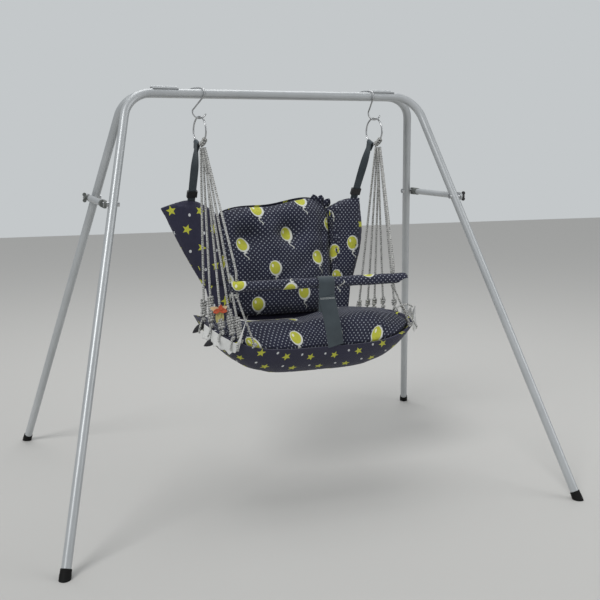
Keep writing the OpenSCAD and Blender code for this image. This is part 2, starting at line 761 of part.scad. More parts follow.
// the tie goes on from the stopper knot to the front corner of the seat
module corner_tie(hand) {
    p = stopper_at(hand);
    q = tie_foot(hand);
    d = unit(q - p);
    at_swing() rod(p + (knot_r + gap / 2) * d, q - (knot_r + gap / 2) * d, rope_r);
}

module corner_tie_left() { color(rope_colour) corner_tie(-1); }
module corner_tie_right() { color(rope_colour) corner_tie(1); }

module rope_knots(hand) {
    at_swing() {
        for (s = strand_feet(hand)) translate(knot_at(hand, s)) sphere(knot_r);
        translate(tie_foot(hand)) sphere(knot_r);
        translate(stopper_at(hand)) sphere(knot_r);
    }
}

module rope_knots_left() { color(rope_colour) rope_knots(-1); }
module rope_knots_right() { color(rope_colour) rope_knots(1); }

// the back strap: one band that loops over the rear of the ring and twists to face the front
function strap_foot(side) = wing_mid(wing_specs[side], strap_end_shares[side], wing_cells)
    + [0, 0, strap_end_play[side]];
function strap_start(side) = [strap_side(side) * ring_half, 0, ring_z]
    + (ring_mid_r + strap_tail) * spun([0, sin(strap_ring_angle), -cos(strap_ring_angle)]);
function strap_knee(side) = let (p = strap_start(side), q = strap_foot(side)) [mix(p[0], q[0], strap_knee_share),
    mix(p[1], q[1], strap_drop_share), mix(p[2], q[2], strap_drop_share)];
function strap_side(side) = side == 0 ? -1 : 1;
module back_strap(side) {
    hand = strap_side(side);
    loop_r = ring_r + strap_slack + strap_t / 2;
    lean = spun([0, sin(strap_ring_angle), -cos(strap_ring_angle)]);
    along = spun([0, cos(strap_ring_angle), sin(strap_ring_angle)]);
    out = spun([hand, 0, 0]);
    on_ring = [hand * ring_half, 0, ring_z] + ring_mid_r * lean;
    turns = [for (g = [strap_wrap_from : strap_wrap_step : 180])
        on_ring + loop_r * (cos(g) * lean + sin(g) * out)];
    wrap = concat([on_ring + strap_tail * lean + (strap_t / 2 + gap) * out], turns,
        [for (g = [180 - strap_wrap_step : -strap_wrap_step : strap_wrap_from])
            on_ring + loop_r * (cos(g) * lean - sin(g) * out)],
        [on_ring + strap_tail * lean - (strap_t / 2 + gap) * out]);
    from = wrap[len(wrap) - 1];
    steps = [for (i = [1 : strap_steps]) i / strap_steps];
    tail = [for (k = steps) mix(mix(from, strap_knee(side), k), mix(strap_knee(side), strap_foot(side), k), k)];
    widths = concat([for (p = wrap) along], [for (k = steps) mix(along, [-hand, 0, 0], sin(90 * k))]);
    at_swing() flat_path(concat(wrap, tail), widths, strap_w, strap_t);
}

module back_strap_left() { color(web_colour) back_strap(0); }
module back_strap_right() { color(web_colour) back_strap(1); }

// the keeper is a moulded loop on the lower end of the strap
module strap_keeper(side) {
    d = unit(strap_knee(side) - strap_foot(side));
    at_swing() translate(strap_foot(side) + (keeper_rest + keeper_h / 2) * d) rotate([-atan2(d[1], d[2]), asin(d[0]), 0])
        linear_extrude(keeper_h, center = true) difference() {
            square([strap_w + 2 * (keeper_play + keeper_wall), strap_t + 2 * (keeper_play + keeper_wall)], center = true);
            square([strap_w + 2 * keeper_play, strap_t + 2 * keeper_play], center = true);
        }
}

module strap_keeper_left() { color(dark_colour) strap_keeper(0); }
module strap_keeper_right() { color(dark_colour) strap_keeper(1); }

// one ring of the seat outline: r is the share of the way from the middle to the rim
function seat_ring(r, inset, height) = [for (k = [0 : seat_sectors - 1])
    let (g = 360 * k / seat_sectors, c = cos(g), s = sin(g))
    [seat_shift + r * (seat_half_w - inset) * signed(c, 2 / seat_power),
     seat_y + r * (seat_half_d - inset) * signed(s, 2 / seat_power), height(r, c, s)]];
function seat_rim(c, s) = mix(s < 0 ? rim_front_z : rim_rear_z, c < 0 ? rim_left_z : rim_right_z, pow(abs(c), 2));
function seat_radii() = [for (i = [1 : seat_rings]) sin(90 * i / seat_rings)];

// the outer seat is a padded bowl of fabric
outer_bowl = function (r, c, s) mix(seat_low_z, seat_rim(c, s), pow(r, bowl_power));
inner_bowl = function (r, c, s) mix(seat_low_z + sling_t, seat_rim(c, s), pow(r, bowl_power));
cushion_low = function (r, c, s) inner_bowl(r, c, s) + seat_gap;
cushion_top = function (r, c, s) mix(seat_top_z, seat_rim(c, s) + over, pow(r, crown_power));

module seat_sling() {
    color(star_colour) at_swing() two_bowls([for (r = seat_radii()) seat_ring(r, sling_edge, inner_bowl)],
        [for (r = seat_radii()) seat_ring(r, 0, outer_bowl)]);
}

// the seat cushion fills the bowl and crowns over its rim
module seat_cushion() {
    color(dot_colour) at_swing() two_bowls(
        [for (r = seat_radii()) seat_ring(r, sling_edge + seat_gap, cushion_top)],
        [for (r = seat_radii()) seat_ring(r, sling_edge + seat_gap, cushion_low)]);
}

// the backrest is drawn on its own slope: u across, v up, n to the front
back_up = [0, sin(back_lean), cos(back_lean)];
back_out = [0, -cos(back_lean), sin(back_lean)];
function on_back(u, v, n) = [u, back_foot_y, back_foot_z] + v * back_up + n * back_out;
function back_u(i, j, half) = let (a = 2 * i / back_cells - 1, b = 2 * j / back_cells - 1)
    half * a * (1 - back_taper_share * (1 - b) / 2) * (1 - back_round_share * pow(abs(b), back_power));
function back_v(i, j, len, low) = let (a = 2 * i / back_cells - 1, b = 2 * j / back_cells - 1)
    -low + (len + low) * (0.5 + b / 2 * (1 - back_round_share * pow(abs(a), back_power)))
    - back_slant * (1 - a) / 2 * (1 + b) / 2;
function back_swell(i, j) = bump(2 * i / back_cells - 1, 2.2) * bump(2 * j / back_cells - 1, 2.2);
function tuft_pull(u, v) = max([for (t = tuft_shares)
    exp(-pow(norm([u - t[0] * back_half_w, v - t[1] * back_len]) / tuft_reach, 2) * 3)]);

module back_cushion() {
    idx = [0 : back_cells];
    front = [for (i = idx) [for (j = idx) let (u = back_u(i, j, back_half_w), v = back_v(i, j, back_len, 0))
        on_back(u, v, back_edge + back_swell(i, j) * (back_crown - tuft_depth * tuft_pull(u, v)))]];
    rear = [for (i = idx) [for (j = idx) let (u = back_u(i, j, back_half_w), v = back_v(i, j, back_len, 0))
        on_back(u, v, -back_edge - back_rear * back_swell(i, j))]];
    color(dot_colour) at_swing() two_sheets(front, rear);
}

// the outer back is a padded sheet behind the cushion, down to the rim of the outer seat
module back_shell() {
    idx = [0 : back_cells];
    at_n = -back_edge - seat_gap;
    front = [for (i = idx) [for (j = idx)
        let (u = back_u(i, j, back_half_w), v = back_v(i, j, back_len, 0) - (j == 0 ? shell_low : 0))
        on_back(u, v, at_n - back_rear * back_swell(i, j))]];
    rear = [for (i = idx) [for (j = idx)
        let (u = back_u(i, j, back_half_w), v = back_v(i, j, back_len, 0) - (j == 0 ? shell_low : 0))
        on_back(u, v, at_n - back_rear * back_swell(i, j) - back_edge - (shell_t - back_edge) * back_swell(i, j))]];
    color(star_colour) at_swing() two_sheets(front, rear);
}

// a side wing is a padded sheet between the backrest edge and a free outer edge
function wing_seam(hand, j) = on_back(hand * (back_u(back_cells, wing_first + j, back_half_w) + wing_gap),
    back_v(hand < 0 ? 0 : back_cells, wing_first + j, back_len, 0), 0);
function wing_mid(w, a, j) = let (hand = w[0], b = j / wing_cells, seam = wing_seam(hand, j),
        low = wing_seam(hand, 0), high = wing_seam(hand, wing_cells),
        out_low = [low[0] + hand * w[2], w[4], low[2]],
        out_high = [high[0] + hand * w[1], w[3], high[2] + w[5]])
    mix(seam, mix(out_low, out_high, b), a)
    + [hand * w[9] * a * sin(180 * b), -w[7] * sin(180 * a) * b, w[6] * sin(180 * a) * b * b];
function wing_half(w, a, j) = wing_edge / 2
    + (w[8] - wing_edge) / 2 * sin(180 * a) * bump(2 * j / wing_cells - 1, 2.5);
// reach and foot, outer edge places, rise, lift, fold, padding and bow of the two wings
wing_specs = [
    [-1, left_wing_reach, left_wing_foot, left_wing_tip_y, left_wing_foot_y,
        left_wing_rise, left_wing_lift, left_wing_fold, left_wing_pad, left_wing_bow],
    [1, right_wing_reach, right_wing_foot, right_wing_tip_y, right_wing_foot_y,
        right_wing_rise, right_wing_lift, right_wing_fold, right_wing_pad, right_wing_bow]];
module wing(w) {
    idx = [0 : wing_cells];
    front = [for (i = idx) [for (j = idx) let (a = i / wing_cells)
        wing_mid(w, a, j) - [0, wing_half(w, a, j), 0]]];
    rear = [for (i = idx) [for (j = idx) let (a = i / wing_cells)
        wing_mid(w, a, j) + [0, wing_half(w, a, j), 0]]];
    at_swing() if (w[0] > 0) two_sheets(front, rear); else two_sheets(flip(front), flip(rear));
}

module wing_left() { color(star_colour) wing(wing_specs[0]); }
module wing_right() { color(dot_colour) wing(wing_specs[1]); }

// the rope holes near the ends of the front bar
module bar_holes(r) {
    for (hand = [-1, 1]) translate(bar_hole_at(hand) - [0, 0, front_pad_d]) cylinder(h = 2 * front_pad_d, r = r);
}

module front_bar_rod() {
    color(wood_colour) at_swing() difference() {
        rod([front_bar_shift - front_bar_half, -front_bar_fwd, front_bar_z],
            [front_bar_shift + front_bar_half, -front_bar_fwd, front_bar_z], front_rod_d / 2);
        bar_holes(rope_r + hole_slack);
    }
}

// the padded cover is a sleeve that is fuller at its ends and waisted under the strap
module front_bar_pad() {
    r = front_pad_d / 2;
    full = front_bar_half + pad_past;
    mid = full + crotch_x - front_bar_shift;
    color(dot_colour) at_swing() difference() {
        translate([front_bar_shift - full, -front_bar_fwd, front_bar_z]) rotate([0, 90, 0]) rotate_extrude() polygon([
            [0, 0], [r - pad_round, 0], [r - pad_round / 3, pad_round / 3], [r, pad_round],
            [r, mid - crotch_w], [r - pad_waist, mid - crotch_w / 2], [r - pad_waist, mid + crotch_w / 2],
            [r, mid + crotch_w], [r, 2 * full - pad_round], [r - pad_round / 3, 2 * full - pad_round / 3],
            [r - pad_round, 2 * full], [0, 2 * full]]);
        rod([front_bar_shift - front_bar_half - run, -front_bar_fwd, front_bar_z],
            [front_bar_shift + front_bar_half + run, -front_bar_fwd, front_bar_z],
            front_rod_d / 2 + run);
        bar_holes(rope_r + hole_slack);
    }
}

// the strap between the legs comes in two lengths: a loop on the front bar with a flap,
// and a tail sewn to the front of the seat that laps over the flap
crotch_in = front_pad_d / 2 - pad_waist + crotch_play;
crotch_y = seat_y - seat_half_d - crotch_seat_play;
function crotch_line(z) = mix(-front_bar_fwd - crotch_in, crotch_y - crotch_bow,
    (front_bar_z - z) / (front_bar_z - seat_top_z));
module crotch_band(face) {
    at_swing() translate([crotch_x - crotch_w / 2, 0, 0]) rotate([90, 0, 90])
        linear_extrude(crotch_w) polygon(concat(face, [for (p = flip(face)) p - [strap_t, 0]]));
}
module crotch_loop() {
    color(web_colour) {
        crotch_band([[-front_bar_fwd - crotch_in, front_bar_z + strap_t],
            [-front_bar_fwd - crotch_in, front_bar_z - strap_t],
            [crotch_line(crotch_flap_z), crotch_flap_z]]);
        at_swing() translate([crotch_x - crotch_w / 2, -front_bar_fwd, front_bar_z]) rotate([90, 0, 90]) difference() {
            cylinder(h = crotch_w, r = crotch_in + strap_t);
            translate([0, 0, -over]) cylinder(h = crotch_w + 2 * over, r = crotch_in);
        }
    }
}
module crotch_tail() {
    lap = strap_t + gap;
    color(web_colour) crotch_band([[crotch_line(crotch_lap_z) - lap, crotch_lap_z],
        [crotch_line(seat_top_z) - lap, seat_top_z],
        [crotch_y, rim_front_z + crotch_foot], [crotch_y, rim_front_z - crotch_foot]]);
}

// white cloth that hangs in folds from the rim, round each front corner of the outer seat
module corner_cloth(hand) {
    idx = [0 : cloth_cells];
    n = hand < 0 ? 0 : 1;
    function cloth_at(i, j, t) = let (g = -mix(cloth_from[n], cloth_to[n], i / cloth_cells), c = cos(g), s = sin(g),
            x = signed(c, 2 / seat_power), y = signed(s, 2 / seat_power),
            out = unit([pow(x, 3) / seat_half_w, pow(y, 3) / seat_half_d]),
            wave = cloth_fold_h * (1 + sin(360 * cloth_folds * i / cloth_cells)) * j / 3,
            off = cloth_play + wave + t)
        [seat_shift + hand * (seat_half_w * x + off * out[0]), seat_y + seat_half_d * y + off * out[1],
         seat_rim(hand * c, s) - cloth_drop[n] - cloth_h[n] * j / 3];
    inner = [for (i = idx) [for (j = [0 : 3]) cloth_at(i, j, 0)]];
    outer = [for (i = idx) [for (j = [0 : 3]) cloth_at(i, j, cloth_t)]];
    at_swing() if (hand > 0) two_sheets(flip(outer), flip(inner)); else two_sheets(outer, inner);
}

module corner_cloth_left() { color(white_colour) corner_cloth(-1); }
module corner_cloth_right() { color(white_colour) corner_cloth(1); }

rear_frame_tube();
front_frame_tube();
foot_rear_left();
foot_rear_right();
foot_front_left();
foot_front_right();
hinge_leaf_rear_left();
hinge_leaf_rear_right();
hinge_leaf_front_left();
hinge_leaf_front_right();
hinge_pin_left();
hinge_pin_right();
pivot_bolt_left();
pivot_bolt_right();
lock_stud_left();
lock_stud_right();
spreader_tube_left();
spreader_tube_right();
spreader_end_left();
spreader_end_right();
wing_nut_left();
wing_nut_right();
s_hook_left();
s_hook_right();
ring_left();
ring_right();
rope_hitch_left();
rope_hitch_right();
rope_left_1();
rope_left_2();
rope_left_3();
rope_left_4();
rope_left_5();
rope_right_1();
rope_right_2();
rope_right_3();
rope_right_4();
rope_right_5();
bar_rope_left();
bar_rope_right();
corner_tie_left();
corner_tie_right();
rope_knots_left();
rope_knots_right();
back_strap_left();
back_strap_right();
strap_keeper_left();
strap_keeper_right();
seat_sling();
seat_cushion();
back_cushion();
back_shell();
wing_left();
wing_right();
front_bar_rod();
front_bar_pad();
crotch_loop();
crotch_tail();
corner_cloth_left();
corner_cloth_right();
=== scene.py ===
# %% [markdown]
# # A folding swing stand with a padded seat
# The imported model brings the stand at its real size: two bent tube frames, hinges, spreaders and rings.
# This lesson keeps those solids and gives them their finishes. The wire hooks, the ropes, the webbing
# and the padded cloth are made in place of theirs. Everything is in metres, +Z is up and -Y is
# the front.

# %% Start from the imported model
import math

import bpy
import numpy as np
from mathutils import Matrix, Vector, noise


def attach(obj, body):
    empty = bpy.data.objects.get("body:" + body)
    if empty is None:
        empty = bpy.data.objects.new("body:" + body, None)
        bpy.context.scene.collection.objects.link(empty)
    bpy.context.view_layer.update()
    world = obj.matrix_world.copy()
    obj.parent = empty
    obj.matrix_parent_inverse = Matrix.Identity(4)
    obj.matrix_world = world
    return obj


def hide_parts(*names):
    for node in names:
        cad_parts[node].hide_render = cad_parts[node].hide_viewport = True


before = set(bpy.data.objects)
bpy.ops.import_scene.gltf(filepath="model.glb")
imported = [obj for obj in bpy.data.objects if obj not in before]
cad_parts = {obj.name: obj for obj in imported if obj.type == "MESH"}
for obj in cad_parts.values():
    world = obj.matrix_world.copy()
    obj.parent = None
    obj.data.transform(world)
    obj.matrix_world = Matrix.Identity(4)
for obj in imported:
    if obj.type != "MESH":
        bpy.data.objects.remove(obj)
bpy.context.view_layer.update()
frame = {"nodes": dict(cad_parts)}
scene = bpy.context.scene
scene.view_settings.view_transform = "Standard"
bpy.ops.object.select_all(action="DESELECT")
print("solids loaded:", len(frame["nodes"]))

# %% [markdown]
# ## The camera
# The photograph was taken from the front left, a little below the height of the top bars. The place,
# the turn and the focal length were worked out from the feet, the bars and the spreaders.


# %% Camera
def facing(way):
    """The turn that points a camera or a lamp along a direction."""
    return Vector(way).to_track_quat("-Z", "Y").to_euler()


camera_yaw = math.radians(20.345)
camera_pitch = math.radians(-9.673)
looking = Vector((math.sin(camera_yaw) * math.cos(camera_pitch),
                  math.cos(camera_yaw) * math.cos(camera_pitch), math.sin(camera_pitch)))
bpy.ops.object.camera_add(location=(-0.9636, -2.8115, 1.0651), rotation=facing(looking))
camera = bpy.context.object
camera.name = "photo_camera"
camera.data.lens = 56.474
camera.data.sensor_width = 36.0
scene.camera = camera
print("camera looks along", [round(c, 3) for c in looking])

# %% [markdown]
# ## Shader tools
# A print of dots and stars is arithmetic on a surface's own coordinates. Node by node that is long to
# write, so one small class wraps a value in the shader: adding or multiplying it with Python's signs
# adds the nodes.


# %% A value in a shader
def plug(tree, socket, value):
    if isinstance(value, Value):
        tree.links.new(value.socket, socket)
    else:
        socket.default_value = value


def math_node(tree, operation, values, clamp=False):
    node = tree.nodes.new("ShaderNodeMath")
    node.operation = operation
    node.use_clamp = clamp
    for socket, value in zip(node.inputs, values):
        plug(tree, socket, value)
    return Value(tree, node.outputs[0])


class Value:
    """One number in a shader. Arithmetic on it adds Math nodes."""

    def __init__(self, tree, socket):
        self.tree = tree
        self.socket = socket

    def math(self, operation, *others, clamp=False):
        return math_node(self.tree, operation, (self,) + others, clamp)

    def __add__(self, other):
        return self.math("ADD", other)

    def __sub__(self, other):
        return self.math("SUBTRACT", other)

    def __rsub__(self, other):
        return math_node(self.tree, "SUBTRACT", (other, self))

    def __mul__(self, other):
        return self.math("MULTIPLY", other)

    def __truediv__(self, other):
        return self.math("DIVIDE", other)

    def floor(self):
        return self.math("FLOOR")

    def fract(self):
        return self.math("FRACT")

    def sin(self):
        return self.math("SINE")

    def cos(self):
        return self.math("COSINE")

    def size(self):
        return self.math("ABSOLUTE")

    def most(self, other):
        return self.math("MAXIMUM", other)

    def inside(self, soft):
        """1 where the value is below zero, 0 above, with a soft edge of that width."""
        return (self * (-1.0 / soft) + 0.5).math("MULTIPLY", 1.0, clamp=True)


# %% A finish
class Finish:
    """One material. node() adds any node; the shader's constants are set on its own sockets."""

    def __init__(self, name, colour, roughness, **constants):
        self.material = bpy.data.materials.new(name)
        self.material.use_nodes = True
        self.tree = self.material.node_tree
        self.shader = self.tree.nodes["Principled BSDF"]
        self.shader.inputs["Base Color"].default_value = colour + (1.0,)
        self.shader.inputs["Roughness"].default_value = roughness
        for key, value in constants.items():
            self.shader.inputs[key.replace("_", " ").replace("Ior", "IOR")].default_value = value

    def node(self, kind, settings=None, inputs=None, output=0):
        node = self.tree.nodes.new(kind)
        for key, value in (settings or {}).items():
            setattr(node, key, value)
        for key, value in (inputs or {}).items():
            plug(self.tree, node.inputs[key], value)
        return Value(self.tree, node.outputs[output])

    def print_map(self):
        """The two lengths of the surface's own map, in metres."""
        flat = self.node("ShaderNodeUVMap", {"uv_map": "print"})
        split = self.node("ShaderNodeSeparateXYZ", None, {"Vector": flat}).socket.node
        return Value(self.tree, split.outputs[0]), Value(self.tree, split.outputs[1])

    def noise(self, scale, detail=2.0):
        place = self.node("ShaderNodeTexCoord", output="Object")
        inputs = {"Scale": scale, "Detail": detail, "Vector": place}
        return self.node("ShaderNodeTexNoise", None, inputs, "Fac")

    def mix(self, share, first, second):
        """A colour between two colours."""
        node = self.tree.nodes.new("ShaderNodeMix")
        node.data_type = "RGBA"
        plug(self.tree, node.inputs[0], share)
        for index, colour in ((6, first), (7, second)):
            plug(self.tree, node.inputs[index], colour if isinstance(colour, Value) else colour + (1.0,))
        return Value(self.tree, node.outputs[2])

    def feed(self, socket, value):
        plug(self.tree, self.shader.inputs[socket], value)

    def tint(self, share, first, second):
        self.feed("Base Color", self.mix(share, first, second))

    def bump(self, height, strength, distance):
        inputs = {"Strength": strength, "Distance": distance, "Height": height}
        self.feed("Normal", self.node("ShaderNodeBump", None, inputs))

    def wear(self, *pieces):
        """Puts the finish on pieces, in place of what they have."""
        for piece in pieces:
            piece.data.materials.clear()
            piece.data.materials.append(self.material)


def colour(red, green, blue):
    """A colour as seen on a screen, from 0 to 255, made linear for the shader."""
    shares = [c / 255.0 for c in (red, green, blue)]
    return tuple(c / 12.92 if c <= 0.04045 else ((c + 0.055) / 1.055) ** 2.4 for c in shares)


print("shader tools ready")

# %% [markdown]
# ## The ropes
# The seat hangs on thin braided ropes. They are knotted on the rings and fan out to the sides of the
# seat, and the front one goes through the front bar. Each is a tube along its route, about 7 mm thick.
# The braid comes from the tube's own map: one direction runs along the rope and the other round it.

# %% Places on the hanging seat
HANDS = ((-1, "left"), (1, "right"))
SWING_X = 0.045
RING_HALF = 0.289
RING_MID = 0.0415
RING_Z = 1.0916
STRAND_TOP_Z = 1.0410
ROPE_D = 0.0060
ROPE_SOFT_D = 0.0072
SEAT_X = SWING_X + 0.022
SEAT_Y = -0.073
SEAT_HALF_W = 0.344
SEAT_HALF_D = 0.172
SEAT_LOW = 0.354
RIM_FRONT = 0.450
RIM_LEFT = 0.528
RIM_RIGHT = 0.502
RIM_REAR = 0.476
SEAT_TOP = 0.511
KNOT_R = 0.0085
KNOT_GAP = 0.0004
KNOT_TOUCH = KNOT_R + 0.00015
BAR_Y = -0.239
BAR_Z = 0.647
BAR_HOLE = 0.250
PAD_R = 0.0165
STRAND_FEET = {-1: (-0.77, -0.6, -0.33, -0.908, -0.865), 1: (0.91, 0.85, 0.78, 0.64, 0.3)}
STRAND_TOPS = ((-1.05, 0.2), (0.05, 0.2), (1.15, 0.2), (-0.5, -0.9), (0.6, -0.9))
TIE_FOOT = {-1: -0.955, 1: -0.78}


def rim_height(in_front, at_left, end):
    """The rim's height, from its front or rear edge (end 0) to its left or right end (end 1)."""
    edge = RIM_FRONT if in_front else RIM_REAR
    return edge * (1 - end) + (RIM_LEFT if at_left else RIM_RIGHT) * end


def rim_at(hand, share):
    """A place on the seat rim: a side, and a share of the half depth from front to rear."""
    end = 1 - abs(share) ** 4
    x = SEAT_X + hand * SEAT_HALF_W * end ** 0.25
    return Vector((x, SEAT_Y + share * SEAT_HALF_D, rim_height(share < 0, hand < 0, end)))


def knot_place(hand, share):
    return rim_at(hand, share) + Vector((-0.002 * hand, 0, KNOT_R + KNOT_GAP))


def under_hook(hand, z):
    """A place on the upright line through a ring."""
    return Vector((SWING_X + hand * RING_HALF, 0, z))


def spun(x, y, z):
    """A step from that line: each ring hangs turned a little to the front."""
    turn = math.radians(12.5)
    return Vector((math.cos(turn) * x - math.sin(turn) * y, math.sin(turn) * x + math.cos(turn) * y, z))


def strand_top(hand, k):
    across, ahead = STRAND_TOPS[k]
    return under_hook(hand, 0) + spun(hand * across * ROPE_D, -0.019 + ahead * ROPE_D, STRAND_TOP_Z)


def stopper_place(hand):
    return Vector((SWING_X + hand * BAR_HOLE, BAR_Y, BAR_Z - PAD_R - KNOT_R - 0.0003))


print("knots on the left from", [round(c, 3) for c in knot_place(-1, -0.33)])


# %% New pieces
def new_piece(name, points, faces, maps=None, smooth=True):
    """A mesh piece with its place in its points. maps has the print map, a pair for each face corner."""
    mesh = bpy.data.meshes.new(name)
    mesh.from_pydata([tuple(p) for p in points], [], [tuple(f) for f in faces])
    if maps is not None:
        layer = mesh.uv_layers.new(name="print")
        layer.data.foreach_set("uv", np.asarray(maps, dtype=np.float32).ravel())
    mesh.polygons.foreach_set("use_smooth", [smooth] * len(mesh.polygons))
    mesh.update()
    piece = bpy.data.objects.new(name, mesh)
    scene.collection.objects.link(piece)
    return piece


def pick(*pieces):
    bpy.ops.object.select_all(action="DESELECT")
    for piece in pieces:
        piece.select_set(True)
    bpy.context.view_layer.objects.active = pieces[0]


def join(name, pieces):
    pick(*pieces)
    bpy.ops.object.join()
    pieces[0].name = name
    return pieces[0]


def dress(piece, finish, body, slot, *nodes, fill=None):
    """Gives a piece its finish, the body that it rides and the solids that it stands for. The slot is not
    used.
    """
    finish.wear(piece)
    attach(piece, body)
    if nodes:
        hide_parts(*nodes)
    print(piece.name, len(piece.data.polygons), "faces")


# %% A tube along a route
def headings(route):
    """The direction of a route at each of its points."""
    last = len(route) - 1
    return [(route[min(i + 1, last)] - route[max(i - 1, 0)]).normalized() for i in range(last + 1)]


def distances(route):
    """How far along a route each of its points lies."""
    run = [0.0]
    for a, b in zip(route, route[1:]):
        run.append(run[-1] + (b - a).length)
    return run


def band(rings, count):
    """Faces between rings of points that follow one another."""
    faces = []
    for i in range(rings - 1):
        for k in range(count):
            n = (k + 1) % count
            faces.append((i * count + k, i * count + n, (i + 1) * count + n, (i + 1) * count + k))
    return faces


def band_map(run, edges):
    """The print map of such faces: metres along the route, and the two values of each face across it."""
    maps = []
    for near, far in zip(run, run[1:]):
        for one, two in edges:
            maps += [(near, one), (near, two), (far, two), (far, one)]
    return maps


def caps(run, edges):
    """The two end faces of a band, and their print map."""
    count = len(edges)
    last = (len(run) - 1) * count
    faces = [tuple(reversed(range(count))), tuple(range(last, last + count))]
    maps = [(0.0, edge[0]) for edge in reversed(edges)] + [(run[-1], edge[0]) for edge in edges]
    return faces, maps


def tube(name, route, radius, around=8, closed=False):
    """A tube with its map: metres along it, and shares of a turn round it. A closed one joins up."""
    route = [Vector(p) for p in route]
    ahead = headings(route)
    side = ahead[0].orthogonal().normalized()
    points = []
    for p, way in zip(route, ahead):
        side = (side - side.dot(way) * way).normalized()
        other = way.cross(side)
        for k in range(around):
            a = 2 * math.pi * k / around
            points.append(p + radius * (math.cos(a) * side + math.sin(a) * other))
    run = distances(route)
    edges = [(k / around, (k + 1) / around) for k in range(around)]
    faces = band(len(route), around)
    maps = band_map(run, edges)
    if closed:
        last = (len(route) - 1) * around
        far = [sum((points[last + k] - points[(k + s) % around]).length for k in range(around))
               for s in range(around)]
        match = far.index(min(far))
        begin = {last + k: (k + match) % around for k in range(around)}
        faces = [tuple(begin.get(k, k) for k in face) for face in faces]
        points = points[:last]
    else:
        end_faces, end_maps = caps(run, edges)
        faces += end_faces
        maps += end_maps
    return new_piece(name, points, faces, maps)


# %% Rope finish: a grey braid with dark flecks, and painted shade in the grooves between its strands
TURN = 6.2832
rope = Finish("braided_rope", colour(176, 178, 174), 0.75, Sheen_Weight=0.25)
run_along, run_round = rope.print_map()
braid_a = ((run_along * 330.0 + run_round * 2.0) * TURN).sin()
braid_b = ((run_along * 330.0 - run_round * 2.0) * TURN).sin()
strand_height_and_shade = (braid_a * braid_b) * 0.5 + 0.5
tracer = ((run_along * 150.0 + run_round) * TURN).sin()
fleck = rope.noise(360.0, 2.0)
dark = (0.56 - tracer * 0.07 - fleck).inside(0.16)
# Painted shade: the braid is darker where the strand height is low, in the grooves between strands.
pale = rope.mix(strand_height_and_shade, colour(152, 153, 151), colour(222, 222, 218))
rope.tint(dark, pale, colour(66, 67, 67))
rope.bump(strand_height_and_shade, 0.7, 0.0008)


# %% Ropes from the rings to the seat and the front bar
def lay_rope(name, route, diameter, node):
    piece = tube(name, route, diameter / 2)
    length = distances(route)[-1]
    dress(piece, rope, "swing_seat", "rope", node)
    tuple(route[0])
    return length


def between(first, last, count):
    return [first.lerp(last, i / count) for i in range(count + 1)]


def curve(start, corner, end, t):
    """A place on the curve from start to end that is drawn towards a corner."""
    return start.lerp(corner, t).lerp(corner.lerp(end, t), t)


def rounded(corners, share, count):
    """A route with its corners eased by curves."""
    route = [corners[0]]
    for before, corner, after in zip(corners, corners[1:], corners[2:]):
        start = corner.lerp(before, share)
        end = corner.lerp(after, share)
        route += [curve(start, corner, end, i / count) for i in range(count + 1)]
    return route + [corners[-1]]


HITCH_TURNS = 4
HITCH_STEPS = 96
HITCH_R = 0.0058


def hitch_route(hand):
    """Turns of rope round the lower part of a ring."""
    route = []
    for i in range(HITCH_STEPS + 1):
        swing = math.radians(8 + 49 * i / HITCH_STEPS)
        wind = 2 * math.pi * HITCH_TURNS * i / HITCH_STEPS
        out = spun(0, -math.sin(swing), -math.cos(swing))
        coil = HITCH_R * (math.cos(wind) * out + math.sin(wind) * spun(1, 0, 0))
        route.append(under_hook(hand, RING_Z) + RING_MID * out + coil)
    return route


total_rope = 0.0
for hand, side in HANDS:
    for k, share in enumerate(STRAND_FEET[hand]):
        top = strand_top(hand, k)
        knot = knot_place(hand, share)
        foot = knot + KNOT_TOUCH * (top - knot).normalized()
        mark = "%s_%d" % (side, k + 1)
        total_rope += lay_rope("braid_" + mark, between(top, foot, 24), ROPE_SOFT_D, "rope_" + mark)
    hole = Vector((SWING_X + hand * BAR_HOLE, BAR_Y, BAR_Z))
    stop = stopper_place(hand)
    corners = [under_hook(hand, 0) + spun(0, -0.033, STRAND_TOP_Z), hole + Vector((0, 0, 0.045)),
               stop + Vector((0, 0, KNOT_TOUCH))]
    route = rounded(corners, 0.12, 8)
    total_rope += lay_rope("bar_braid_" + side, route, ROPE_SOFT_D, "bar_rope_" + side)
    foot = knot_place(hand, TIE_FOOT[hand])
    way = (foot - stop).normalized()
    route = between(stop + KNOT_TOUCH * way, foot - KNOT_TOUCH * way, 14)
    total_rope += lay_rope("tie_braid_" + side, route, ROPE_D, "corner_tie_" + side)
    total_rope += lay_rope("hitch_braid_" + side, hitch_route(hand), ROPE_D, "rope_hitch_" + side)
print("rope in all: %.2f m" % total_rope)

# %% [markdown]
# ## Knots and bindings
# Each strand ends in an overhand knot. The centre line of a trefoil is the classic shape of one, so a
# thin tube along a small trefoil is modelled for each knot, with a turn of its own. Above the knots the
# spare end is wound back up the strand, long on the left and short on the right, and a short end of
# rope is left hanging. The tie at the right corner has a second knot half way with three stray ends.

# %% Knots at the strand ends and under the front bar
LOOSE_R = 0.0029
WOUND_R = 0.0034
WOUND_PITCH = 0.0074
TREFOIL_SIZE = 0.00195


def trefoil(place, turn):
    spin = Matrix.Rotation(turn, 3, "Z") @ Matrix.Rotation(0.9, 3, "X")
    route = []
    for i in range(61):
        t = 2 * math.pi * i / 60
        x = math.sin(t) + 2 * math.sin(2 * t)
        y = math.cos(t) - 2 * math.cos(2 * t)
        route.append(place + spin @ (Vector((x, y, -1.4 * math.sin(3 * t))) * TREFOIL_SIZE))
    return route


